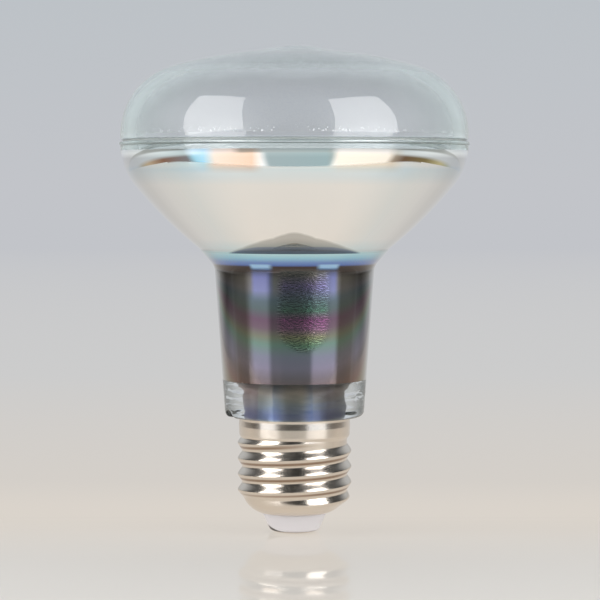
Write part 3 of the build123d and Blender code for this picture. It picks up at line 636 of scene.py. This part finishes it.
def nickel_plate(tint):
    """Bright nickel on rolled brass: a warm mirror with faint roll marks and handling haze."""
    material, tree = blank("nickel_plated_brass")
    place = own_place(tree)
    x, y, z = split(tree, place)
    # Handling haze in patches of about 4 mm.
    haze = noise(tree, place, 4.0, detail=4.0, roughness=0.6)
    # Roll marks about 0.3 mm high that run around the shell.
    marks = noise(tree, place, 3.6, layers=12.0)
    # Painted reflection: each lower flank would mirror the dark groove under it, so it gets a thin brown
    # line,
    # 12.6 mm from the axis.
    painted_line = bands(tree, reach(tree, X=x, Y=y), PAINTED_LINE_RADII)
    downward = remap(tree, split(tree, place.node.outputs["Normal"])["Z"], -0.1, -0.3)
    share = product(tree, painted_line, bands(tree, z, PAINTED_LINE_HEIGHTS), downward)
    feeds = {
        "Base Color": blend(tree, share, tint, linear("#806044")),
        "Metallic": 1.0,
        "Roughness": remap(tree, haze, 0.3, 0.7, 0.17, 0.25),
        "Normal": bumps(tree, marks, 0.12, 0.02),
    }
    return finish(material, add(tree, "BsdfPrincipled", feeds))


def grained(name, code, roughness, grain, metallic=0.0, depth=0.02, contrast=0.12):
    """Opaque finish with a fine grain in millimetres that varies its tone and its surface."""
    material, tree = blank(name)
    grains = noise(tree, own_place(tree), grain)
    tone = linear(code)
    dark = tuple(c * (1 - contrast) for c in tone[:3]) + (1.0,)
    feeds = {
        "Base Color": ramp(tree, grains, ((0.3, dark), (0.7, tone))),
        "Metallic": metallic,
        "Roughness": roughness,
        "Normal": bumps(tree, grains, 0.3, depth),
    }
    return finish(material, add(tree, "BsdfPrincipled", feeds))


# The dark rim at the foot of the nose: how high it stands all round and how far it creeps up at the left.
DARK_RIM_HEIGHT = 0.42
DARK_RIM_CREEP = 1.4
DARK_RIM_SPAN = (0.0, -6.2)


def nose_plastic(tint):
    """Moulded white insulator: a soft white, with a dark rim at its foot."""
    material, tree = blank("moulded_white_insulator")
    x, _, z = split(tree, own_place(tree))
    # The rim creeps up the left side and thins out towards the front.
    creep = maths(tree, "POWER", fade(tree, x, DARK_RIM_SPAN), 3.0)
    rim = maths(tree, "MULTIPLY_ADD", creep, DARK_RIM_CREEP * MM, DARK_RIM_HEIGHT * MM)
    share = fade(tree, maths(tree, "SUBTRACT", rim, z), (-0.1, 0.1))
    feeds = {"Base Color": blend(tree, share, tint, linear("#2E2622")), "Roughness": 0.3}
    return finish(material, add(tree, "BsdfPrincipled", feeds))


def silicone_bond():
    """Cured clear silicone: a soft milky line between the two glasses."""
    material, tree = blank("clear_silicone_sealant")
    # Tooling ripples about 1.5 mm long.
    ripples = noise(tree, own_place(tree), 1.5, detail=2.0)
    feeds = {
        "Base Color": linear("#D5DBD8"),
        "Roughness": 0.35,
        "IOR": 1.41,
        "Transmission Weight": 0.35,
        "Normal": bumps(tree, ripples, 0.4, 0.05),
    }
    return finish(material, add(tree, "BsdfPrincipled", feeds))


def bowl_arcs(s):
    """Centres of the two arcs of the bowl, which touch each other and pass through the seam."""
    shoulder = Vector((s.bulb_radius - s.bowl_shoulder, s.equator_z))
    seam = Vector((s.seam_radius, s.seam_z))
    span = seam - shoulder
    arm = s.bowl_flank - s.bowl_shoulder
    along = (span.length**2 + arm**2 - s.bowl_flank**2) / (2 * span.length)
    across = math.sqrt(arm**2 - along**2)
    unit = span.normalized()
    flank = shoulder + unit * along + Vector((unit.y, -unit.x)) * across
    return shoulder, flank, seam


def bowl_side(s, inset):
    """Bowl outline from the seam up to the equator at an inset from the outer face."""
    shoulder, flank, seam = bowl_arcs(s)
    meeting = turn_of(flank, shoulder)
    low = arc(flank, s.bowl_flank - inset, turn_of(flank, seam), meeting, 36)
    high = arc(shoulder, s.bowl_shoulder - inset, meeting, 0.0, 28)
    return joined(low, high)


def neck_foot(s, start, slope, wall):
    """Point where a line that falls inward from a start meets the tapered neck wall."""
    taper = math.tan(s.neck_taper)
    radius = s.foot_radius - wall + (start.y - s.foot_z) * taper
    drop = (start.x - radius) / (slope - taper)
    return Vector((start.x - drop * slope, start.y - drop))


def parted(chain, height):
    """Two chains from one, split where it first rises past a height."""
    for i, (low, high) in enumerate(zip(chain, chain[1:])):
        if low.y <= height < high.y:
            meeting = low.lerp(high, (height - low.y) / (high.y - low.y))
            return chain[: i + 1] + [meeting], [meeting] + chain[i + 1 :]
    raise ValueError("the chain does not reach that height")


# Rounds of the side from boss to seam, of the bead and its flat rim, and of the inside from the knee of the
# bowl down into the bore.
SIDE_ROUNDS = (0.6, 0.6, 1.2, 3.0, 0.0)
BEAD_ROUNDS = (0.5, 0.45, 0.3)
WELL_ROUNDS = (5.0, 1.0, 2.6)
# How far the bead stands out at its widest and at the rim, and lies below the middle of the band; the step at
# the seam and the taper of the bore.
BEAD_OUT = 0.35 * MM
RIM_OUT = 0.3 * MM
BEAD_DROP = 0.2 * MM
SEAM_STEP = 0.05 * MM
THROAT_TAPER = 0.1 * MM


def body_outlines(s):
    """Outlines of the body: clear foot, coated side, clear rim and the bare coat inside."""
    boss_z = s.foot_z - s.boss_height
    ledge_z = s.foot_z + s.foot_thickness
    outer, inner = bowl_side(s, 0.0), bowl_side(s, s.bowl_wall)
    land = Vector((s.seam_radius - SEAM_STEP, s.seam_z - s.seam_land))
    flare = neck_foot(s, land, math.tan(s.flare_angle), 0.0)
    rim_mid = (s.equator_z + s.rim_z) / 2
    band = s.bulb_radius - s.bowl_wall
    side = rounded(
        [
            (s.bore_radius, boss_z),
            (s.boss_radius, boss_z),
            (s.boss_radius, s.foot_z),
            (s.foot_radius, s.foot_z),
            flare,
            land,
            outer[0],
        ],
        SIDE_ROUNDS,
    )
    bead = rounded(
        [
            outer[-1],
            (s.bulb_radius + BEAD_OUT, rim_mid - BEAD_DROP),
            (s.bulb_radius + RIM_OUT, s.rim_z),
            (band, s.rim_z),
            (band, s.coat_top_z),
        ],
        BEAD_ROUNDS,
    )
    foot, rest = parted(dense(joined(side, outer, bead), 0.4 * MM), s.coat_foot_z)
    coated, rim = parted(rest, s.coat_top_z)
    fall = (inner[1] - inner[0]).x / (inner[1] - inner[0]).y
    knee = neck_foot(s, inner[0], fall, s.neck_wall)
    cavity = s.foot_radius - s.neck_wall + s.foot_thickness * math.tan(s.neck_taper)
    throat = s.bore_radius + THROAT_TAPER
    well = rounded(
        [inner[3], knee, (cavity, ledge_z), (throat, ledge_z), (s.bore_radius, boss_z)],
        WELL_ROUNDS,
    )
    inside = joined([Vector((band, s.coat_top_z))], [p for p in inner[:2:-1] if p.y < s.coat_top_z], well)
    return foot, coated, rim, dense(inside)


def press_notch(piece, s):
    """Presses the round notch into the edge of the foot."""
    way = Vector((math.cos(s.notch_turn), math.sin(s.notch_turn), 0))
    centre = way * s.notch_reach + Vector((0, 0, s.notch_z))
    for vertex in piece.data.vertices:
        gap = vertex.co - centre
        if gap.length < s.notch_radius:
            vertex.co = centre + gap.normalized() * s.notch_radius


def dense(points, step=0.8 * MM):
    """The same chain with its long straight runs divided."""
    return joined(*[spread(a, b, step) for a, b in zip(points, points[1:])])


class LAMP_OT_glass_body(bpy.types.Operator):
    """Spins the clear, the coated and the inner skins of the pressed body and closes them"""

    bl_idname = "lamp.glass_body"
    bl_label = "Glass body"

    def execute(self, context):
        s = context.scene.lamp_glass
        tint = chosen("glass")
        looks = (
            pressed_glass("pressed_foot_glass", tint, 0.0, 0.1, 0.16, layers=3.0),
            coated_glass(),
            pressed_glass("pressed_rim_glass", tint, 0.25, 0.4, 0.005),
            bare_coat(),
        )
        skins = [
            dress(lathe(outline, s.segments), look)
            for outline, look in zip(body_outlines(s), looks)
        ]
        piece = closed("reflector_glass", skins)
        press_notch(piece, s)
        stand_for(piece, "reflector_body")
        return {"FINISHED"}


def dome(rim, foot_z, apex_z, crown, shoulder):
    """Dome outline from its foot to its apex: upright rim, round shoulder and shallow crown."""
    top = Vector((0, apex_z - crown))
    across = rim - shoulder
    side = top + Vector((across, math.sqrt((crown - shoulder) ** 2 - across**2)))
    meeting = turn_of(top, side)
    rise = spread((rim, foot_z), (rim, side.y), 0.5 * MM) if side.y > foot_z else []
    return joined(
        rise,
        arc(side, shoulder, 0.0, meeting, 40),
        arc(top, crown, meeting, math.pi / 2, 60),
    )


# Height of the clear foot inside the lens, and its rounds.
CLEAR_FOOT = 1.2 * MM
LENS_FOOT_ROUNDS = (0.3, 0.4)


class LAMP_OT_front_lens(bpy.types.Operator):
    """Spins the smooth outside and the stippled inside of the front lens and closes them"""

    bl_idname = "lamp.front_lens"
    bl_label = "Front lens"

    def execute(self, context):
        s = context.scene.lamp_glass
        tint = chosen("glass")
        outer = dome(s.bulb_radius, s.lens_z, s.lens_apex_z, s.lens_crown, s.lens_shoulder)
        for point in outer:
            if point.x < s.pip_radius:
                point.y += s.pip_rise * math.cos(math.pi / 2 * point.x / s.pip_radius) ** 2
        inner_rim = s.bulb_radius - s.lens_rim_wall
        inner = dome(
            inner_rim,
            s.lens_z,
            s.lens_apex_z - s.lens_crown_wall,
            s.lens_inner_crown,
            s.lens_inner_shoulder,
        )
        clear_z = s.lens_z + CLEAR_FOOT
        foot = rounded(
            [(inner_rim, clear_z), (inner_rim, s.lens_z), (s.bulb_radius, s.lens_z), outer[3]],
            LENS_FOOT_ROUNDS,
        )
        outer[-1].x = inner[-1].x = 0.0
        stipple = [Vector((inner_rim, clear_z))] + [p for p in inner if p.y > clear_z + 1e-6]
        clear = pressed_glass("pressed_lens_glass", tint, 0.0, 0.22, 0.01, front=0.9, sides=1.7)
        outside = dress(lathe(joined(foot, outer[3:]), s.segments), clear)
        inside = dress(lathe(stipple, s.segments), stippled_glass(tint))
        piece = closed("front_lens_glass", [outside, inside])
        stand_for(piece, "front_lens")
        return {"FINISHED"}


def ease(share):
    """Smooth step from nought to one."""
    share = max(0.0, min(1.0, share))
    return share * share * (3 - 2 * share)


# How straight the flanks of the thread are, from a plain wave at nought to sharp crests at one, and the share
# of a pitch over which the thread fades in and out.
FLANK_SHARE = 0.9
FADE_IN = 0.36
FADE_OUT = 0.45


def knuckle(s, place):
    """Height of the round thread over its root, by place along the axis above a crest."""
    turn = place / s.thread_pitch % 1.0
    rise = s.thread_upper_share
    down = turn / rise if turn < rise else (1 - turn) / (1 - rise)
    # Flanks that are nearly straight, with round crests and roots.
    wave = math.asin(FLANK_SHARE * math.cos(math.pi * down)) / math.asin(FLANK_SHARE)
    return (s.thread_major - s.thread_minor) / 2 * (1 + wave)


def roll_thread(piece, s):
    """Rolls the right-hand thread into the plain shell, faded at both ends."""
    for vertex in piece.data.vertices:
        x, y, z = vertex.co
        turn = math.atan2(y, x) / math.tau
        line_z = s.thread_crest_z + s.thread_pitch * turn
        # The crest nearest in height tells how far along its run the thread is.
        crest_z = line_z + round((z - line_z) / s.thread_pitch) * s.thread_pitch
        share = ease((crest_z - s.thread_start_z) / (FADE_IN * s.thread_pitch))
        share *= ease((s.thread_end_z - crest_z) / (FADE_OUT * s.thread_pitch))
        radius = math.hypot(x, y)
        if radius < s.mouth_radius + 2 * MM:
            continue
        rolled = min(radius, s.thread_minor) + share * knuckle(s, z - line_z)
        grow = max(rolled, radius) / radius
        vertex.co.x *= grow
        vertex.co.y *= grow


# Rounds of the collar, from its foot to its upper edge.
COLLAR_ROUNDS = (1.2, 4.0, 0.0, 0.12)


class LAMP_OT_cap_shell(bpy.types.Operator):
    """Spins the plain drawn shell, rolls the thread into it and gives it the thickness of the sheet"""

    bl_idname = "lamp.cap_shell"
    bl_label = "Cap shell"

    def execute(self, context):
        s = context.scene.lamp_cap
        across = s.mouth_radius - s.thread_minor + s.end_round
        centre = Vector((s.thread_minor - s.end_round, s.shell_z + math.sqrt(s.end_round**2 - across**2)))
        lip = Vector((s.mouth_radius, s.shell_z))
        end = arc(centre, s.end_round, turn_of(centre, lip), 0.0, 40)
        barrel = spread((s.thread_minor, centre.y), (s.thread_minor, s.collar_z - 0.8 * MM), 0.11 * MM)
        # The collar draws in a little towards its step, and its upper edge opens a little.
        collar = rounded(
            [
                barrel[-1],
                (s.collar_radius - 0.13 * MM, s.collar_z),
                (s.collar_radius, s.shell_top_z - 2.1 * MM),
                (s.collar_radius - 0.04 * MM, s.shell_top_z - 0.6 * MM),
                (s.collar_radius + 0.08 * MM, s.shell_top_z),
                (s.collar_radius - 0.35 * MM, s.shell_top_z),
            ],
            COLLAR_ROUNDS,
        )
        piece = lathe(joined(end, barrel, dense(collar, 0.3 * MM)), s.segments)
        roll_thread(piece, s)
        closed("cap_shell_rolled", [piece])
        sheet = piece.modifiers.new("sheet", "SOLIDIFY")
        sheet.thickness = s.shell_wall
        sheet.offset = -1.0
        bpy.ops.object.modifier_apply(modifier=sheet.name)
        dress(piece, nickel_plate(chosen("nickel")))
        stand_for(piece, "cap_shell")
        return {"FINISHED"}


# Rounds of the nose and of the contact's stem, then the bore of the nose, the stem in it, how far the nose
# goes up into the shell, how far the stem stands out above it, and the gap to the shell's mouth.
NOSE_ROUNDS = (0.9, 0.0, 0.3, 0.0)
STEM_ROUNDS = (0.0, 0.2)
NOSE_BORE = 1.4 * MM
STEM_RADIUS = 1.3 * MM
NOSE_DEPTH = 3.1 * MM
STEM_TOP = 1.2 * MM
NOSE_GAP = 0.1 * MM


class LAMP_OT_cap_tip(bpy.types.Operator):
    """Spins the white insulating nose and the contact disc at the tip of the cap"""

    bl_idname = "lamp.cap_tip"
    bl_label = "Cap tip"

    def execute(self, context):
        s = context.scene.lamp_cap
        inside_z = s.shell_z + NOSE_DEPTH
        nose = rounded(
            [
                (NOSE_BORE, s.nose_z),
                (s.nose_radius, s.nose_z),
                (s.mouth_radius - NOSE_GAP, s.shell_z),
                (s.mouth_radius - NOSE_GAP, inside_z),
                (NOSE_BORE, inside_z),
                (NOSE_BORE, s.nose_z),
            ],
            NOSE_ROUNDS,
        )
        piece = closed("cap_nose", [lathe(dense(nose, 0.5 * MM), s.segments)])
        dress(piece, nose_plastic(chosen("nose")))
        stand_for(piece, "cap_insulator")
        curve = ((s.contact_radius - s.contact_flat) ** 2 + s.nose_z**2) / (2 * s.nose_z)
        middle = Vector((s.contact_flat, curve))
        brim = turn_of(middle, Vector((s.contact_radius, s.nose_z)))
        edge = arc(middle, curve, -math.pi / 2, brim, 10)
        stem = rounded(
            [
                edge[-1],
                (STEM_RADIUS, s.nose_z),
                (STEM_RADIUS, inside_z + STEM_TOP),
                (0, inside_z + STEM_TOP),
            ],
            STEM_ROUNDS,
        )
        disc = joined([Vector((0, 0))], edge, stem)
        contact = closed("cap_contact", [lathe(dense(disc, 0.5 * MM), s.segments)])
        dress(contact, nickel_plate(chosen("nickel")))
        stand_for(contact, "centre_contact")
        return {"FINISHED"}


class LAMP_OT_inner_parts(bpy.types.Operator):
    """Gives the light board, the driver and the joints inside the lamp their finishes"""

    bl_idname = "lamp.inner_parts"
    bl_label = "Inner parts"

    def execute(self, context):
        finishes = {
            "lens_bond": silicone_bond(),
            "cap_cement": grained("capping_cement", "#A39A8C", 0.9, 0.6, depth=0.08, contrast=0.2),
            "heat_sink": grained("spun_aluminium", "#C9CACB", 0.35, 0.4, metallic=1.0),
            "led_board": grained("white_solder_mask", "#EDEDE8", 0.4, 0.8, contrast=0.04),
            "led_packages": grained("moulded_white_package", "#F0EFEA", 0.5, 0.3, contrast=0.04),
            "led_phosphors": grained("phosphor_in_silicone", "#E8C63C", 0.35, 0.12, contrast=0.15),
            "board_screws": grained("zinc_plated_steel", "#B9B9B4", 0.3, 0.5, metallic=1.0),
            "led_lead_positive": grained("red_wire_insulation", "#B0201C", 0.4, 0.5),
            "led_lead_negative": grained("black_wire_insulation", "#1A1A1A", 0.4, 0.5),
            "live_lead": grained("brown_wire_insulation", "#5A3622", 0.4, 0.5),
            "neutral_lead": grained("blue_wire_insulation", "#27489A", 0.4, 0.5),
            "driver_sleeve": grained("moulded_white_sleeve", "#E4E3DE", 0.5, 0.6, contrast=0.05),
            "driver_board": grained("green_solder_mask", "#1E5A32", 0.35, 0.7),
            "smoothing_capacitor": grained("shrink_sleeve_dark", "#20242E", 0.35, 0.5),
            "output_capacitor": grained("shrink_sleeve_black", "#18181A", 0.35, 0.5),
            "choke_core": grained("sintered_ferrite", "#2B2B2B", 0.7, 0.2),
            "choke_winding": grained("enamelled_copper", "#B4693A", 0.3, 0.35, metallic=1.0, depth=0.1),
            "film_capacitor": grained("dipped_yellow_box", "#C9A227", 0.35, 0.6),
            "driver_chip": grained("moulded_epoxy_chip", "#191919", 0.6, 0.15),
            "bridge_rectifier": grained("moulded_epoxy_bridge", "#1C1C1C", 0.6, 0.15),
            "fuse_resistor": grained("lacquered_ceramic", "#5F8C88", 0.4, 0.4),
        }
        for node, material in finishes.items():
            dress(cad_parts[node], material)
        return {"FINISHED"}


# Reach in metres of the round front of the board, how much wider than deep it is, and the width of its
# feather edge. The run behind the lamp and the sweep beyond it are squares.
BOARD_REACH = 0.14
BOARD_STRETCH = 1.8
FEATHER = 0.012
RUN_SIZE = 3.6 * BOARD_REACH
SWEEP_SIZE = 60.0


def floor_lacquer(front, near, middle, far):
    """Gloss-lacquered board: cream near the lamp, cooler behind it, until it runs into the backdrop."""
    material, tree = blank("gloss_lacquered_board")
    x, y, _ = split(tree, own_place(tree))
    # Metres from just before the lamp to the foot of the backdrop.
    share = remap(tree, y, -0.3, 2.3)
    tint = ramp(tree, share, ((0.0, front), (0.08, near), (0.28, middle), (1.0, far)))
    matt = add(tree, "BsdfDiffuse", {"Color": tint})
    # Further off the board is as bright as the backdrop that it runs into.
    cream = ((0.08, "#E4DCD2"), (0.115, "#DFD7CD"), (0.15, "#D4CFC9"))
    bright = glow(tree, ramp(tree, share, (*cream, (0.28, middle), (1.0, far))))
    board = cover(tree, remap(tree, y, -0.08, 0.03, smooth=True), matt, bright)
    gloss = add(tree, "BsdfGlossy", {"Roughness": 0.04})
    sheen = add(tree, "Fresnel", {"IOR": 1.15})
    shine = product(tree, sheen, remap(tree, y, 0.05, -0.05, smooth=True))
    lacquer = cover(tree, shine, board, gloss)
    # The round front of the board is planed to a feather edge.
    spot = {"X": maths(tree, "DIVIDE", x, BOARD_STRETCH), "Y": maths(tree, "MINIMUM", y, 0.0)}
    past = remap(tree, reach(tree, **spot), BOARD_REACH - FEATHER, BOARD_REACH)
    thin = product(tree, past, maths(tree, "LESS_THAN", y, 0.0))
    return finish(material, cover(tree, thin, lacquer, add(tree, "BsdfTransparent")))


# Colours of the room by degrees round from the camera, left negative, from its floor to its ceiling, and the
# heights of a look, as the sine of its angle, between which each gives way to the next.
UNDER = (
    (-138, "#B6B8BA"), (-128, "#A89E8A"), (-118, "#B8A084"), (-100, "#8C6450"), (-77, "#8A7C7A"),
    (-71, "#BCDCE6"), (-64, "#E0F0F8"), (-55, "#FFFFFF"), (-24, "#FFFFFF"), (-18, "#9EAEB2"),
    (25, "#9EAEB2"), (30, "#FFFFFF"), (66, "#FFFFFF"), (72, "#9A9084"), (80, "#6C5440"),
    (100, "#7C6C48"), (118, "#B4A880"), (128, "#A4A48E"), (138, "#B6B8BA"),
)
LEDGE = (
    (-140, "#BDBFC1"), (-78, "#BCBCB8"), (-70, "#F4F7FF"), (-42, "#F4F7FF"), (-35, "#A2AAAA"),
    (24, "#A2AAAA"), (30, "#F4F7FF"), (64, "#F4F7FF"), (72, "#BCBCB8"), (140, "#BDBFC1"),
)
RAIL = (
    (-140, "#B0B0AE"), (-118, "#5A5856"), (-78, "#302E2C"), (-70, "#F0F6FF"), (-42, "#F0F6FF"),
    (-35, "#343230"), (24, "#343230"), (30, "#DCE6F2"), (64, "#DCE6F2"), (72, "#302E2C"),
    (112, "#4E4C4A"), (140, "#B0B0AE"),
)
ABOVE = (
    (-140, "#BDC2C7"), (-112, "#4A4C4E"), (-85, "#2E3030"), (-45, "#303232"), (0, "#222424"),
    (45, "#303232"), (85, "#2E3030"), (112, "#4A4C4E"), (140, "#BDC2C7"),
)
LIFT = (0.0, 0.2)
DIP = (-0.12, -0.15)
DROP = (-0.23, -0.29)
BACKDROP_RISE = (0.0, 0.08)
# Light that reaches the lamp from the room is a little stronger than what the eye sees of it.
ROOM_STRENGTH = 1.12


def studio_world(low, high):
    """Pale backdrop for the eye and behind the lamp, and a dim room around the camera."""
    world = bpy.data.worlds.new("studio")
    bpy.context.scene.world = world
    world.use_nodes = True
    tree = world.node_tree
    tree.nodes.clear()
    x, y, z = split(tree, add(tree, "TexCoord").outputs["Generated"])
    turn = maths(tree, "ARCTAN2", x, maths(tree, "MULTIPLY", y, -1.0))
    # A half faces the camera, nought and one face the backdrop.
    share = maths(tree, "MULTIPLY_ADD", turn, 1 / math.tau, 0.5)
    under, ledge, rail, above = (
        ramp(tree, share, [(degrees / 360 + 0.5, code) for degrees, code in stops])
        for stops in (UNDER, LEDGE, RAIL, ABOVE)
    )
    room = blend(tree, remap(tree, z, *LIFT, smooth=True), rail, above)
    room = blend(tree, remap(tree, z, *DIP), room, ledge)
    room = blend(tree, remap(tree, z, *DROP), room, under)
    backdrop = blend(tree, remap(tree, z, *BACKDROP_RISE), low, high)
    seen = add(tree, "LightPath").outputs["Is Camera Ray"]
    strength = remap(tree, seen, start=ROOM_STRENGTH, end=1.0)
    sky = add(tree, "Background", {"Color": blend(tree, seen, room, backdrop), "Strength": strength})
    add(tree, "OutputWorld", {"Surface": sky})


# Softboxes by name: turn round from the camera and roll in degrees, width and height in metres.
SOFTBOXES = {"left_softbox": (-58, -10, 0.86, 1.29), "right_softbox": (49, 3, 0.88, 1.29)}
SOFTBOX_DISTANCE = 1.1
SOFTBOX_LIFT = 0.1
SOFTBOX_WATTS = 16.2


def softbox(name, turn, roll, width, height):
    """Upright soft lamp that hangs just off the floor at an angle round from the camera side."""
    way = Vector((math.sin(turn), -math.cos(turn), 0))
    lamp = bpy.data.lights.new(name, "AREA")
    lamp.shape = "RECTANGLE"
    lamp.size, lamp.size_y = width, height
    lamp.energy = SOFTBOX_WATTS
    box = bpy.data.objects.new(name, lamp)
    bpy.context.collection.objects.link(box)
    box.location = way * SOFTBOX_DISTANCE + Vector((0, 0, height / 2 + SOFTBOX_LIFT))
    box.rotation_euler = (math.pi / 2, roll, turn)
    box.visible_camera = False


# The eye of the photo: its place, how far it looks down in degrees, and its lens and sensor.
EYE_PLACE = (1.27, -526, 80.5)
EYE_DOWN = 2.93
EYE_LENS = 137.1
EYE_SENSOR = 36.0


def photo_eye(context):
    """Camera that looks at the lamp as the photo does."""
    eye = bpy.data.cameras.new("photo_eye")
    eye.sensor_width = EYE_SENSOR
    eye.lens = EYE_LENS
    camera = bpy.data.objects.new("photo_eye", eye)
    context.collection.objects.link(camera)
    camera.location = [size * MM for size in EYE_PLACE]
    camera.rotation_euler = (math.radians(90 - EYE_DOWN), 0, 0)
    context.scene.camera = camera


class LAMP_OT_stage(bpy.types.Operator):
    """Sets the floor, the backdrop, the two softboxes and the camera"""

    bl_idname = "lamp.stage"
    bl_label = "Stage"

    def execute(self, context):
        bpy.ops.object.select_all(action="DESELECT")
        # A board with a round front stands out before a wide sweep, a hand's breadth beyond the lamp.
        floor_z = TIP_Z - 0.05 * MM
        bpy.ops.mesh.primitive_circle_add(
            vertices=96, radius=BOARD_REACH, fill_type="NGON", location=(0, 0, floor_z)
        )
        board = context.active_object
        board.scale.x = BOARD_STRETCH
        bpy.ops.mesh.primitive_plane_add(size=RUN_SIZE, location=(0, RUN_SIZE / 2, floor_z - 0.01 * MM))
        run = context.active_object
        bpy.ops.mesh.primitive_plane_add(size=SWEEP_SIZE, location=(0, SWEEP_SIZE / 2 + RUN_SIZE, floor_z))
        board.select_set(True)
        run.select_set(True)
        context.view_layer.objects.active = board
        bpy.ops.object.join()
        floor = context.active_object
        floor.name = "studio_floor"
        bpy.ops.object.transform_apply(location=True, rotation=False, scale=True)
        tones = [chosen(name) for name in ("floor_front", "floor_near", "floor_middle", "floor_far")]
        dress(floor, floor_lacquer(*tones))
        studio_world(tones[-1], chosen("backdrop"))
        for name, (turn, roll, width, height) in SOFTBOXES.items():
            softbox(name, math.radians(turn), math.radians(roll), width, height)
        photo_eye(context)
        context.scene.view_settings.view_transform = "Standard"
        return {"FINISHED"}


class LAMP_PT_builder(bpy.types.Panel):
    """Lists the steps that build the lamp, with its sizes and colours"""

    bl_label = "Reflector lamp"
    bl_idname = "LAMP_PT_builder"
    bl_space_type = "VIEW_3D"
    bl_region_type = "UI"
    bl_category = "Lamp"

    def draw(self, context):
        for step in STEPS:
            self.layout.operator(step.bl_idname)
        for group in (context.scene.lamp_glass, context.scene.lamp_cap, context.scene.lamp_finishes):
            box = self.layout.box()
            for key in group.__annotations__:
                box.prop(group, key)


STEPS = (
    LAMP_OT_glass_body,
    LAMP_OT_front_lens,
    LAMP_OT_cap_shell,
    LAMP_OT_cap_tip,
    LAMP_OT_inner_parts,
    LAMP_OT_stage,
)
GROUPS = {"lamp_glass": LampGlassSizes, "lamp_cap": LampCapSizes, "lamp_finishes": LampFinishes}


def register():
    for group in GROUPS.values():
        bpy.utils.register_class(group)
    for step in STEPS:
        bpy.utils.register_class(step)
    bpy.utils.register_class(LAMP_PT_builder)
    for name, group in GROUPS.items():
        setattr(bpy.types.Scene, name, PointerProperty(type=group))


def unregister():
    for name in GROUPS:
        delattr(bpy.types.Scene, name)
    bpy.utils.unregister_class(LAMP_PT_builder)
    for step in reversed(STEPS):
        bpy.utils.unregister_class(step)
    for group in GROUPS.values():
        bpy.utils.unregister_class(group)


def main():
    """Builds the lamp and its stage."""
    register()
    bpy.ops.lamp.glass_body()
    bpy.ops.lamp.front_lens()
    bpy.ops.lamp.cap_shell()
    bpy.ops.lamp.cap_tip()
    bpy.ops.lamp.inner_parts()
    bpy.ops.lamp.stage()


if __name__ == "__main__":
    main()
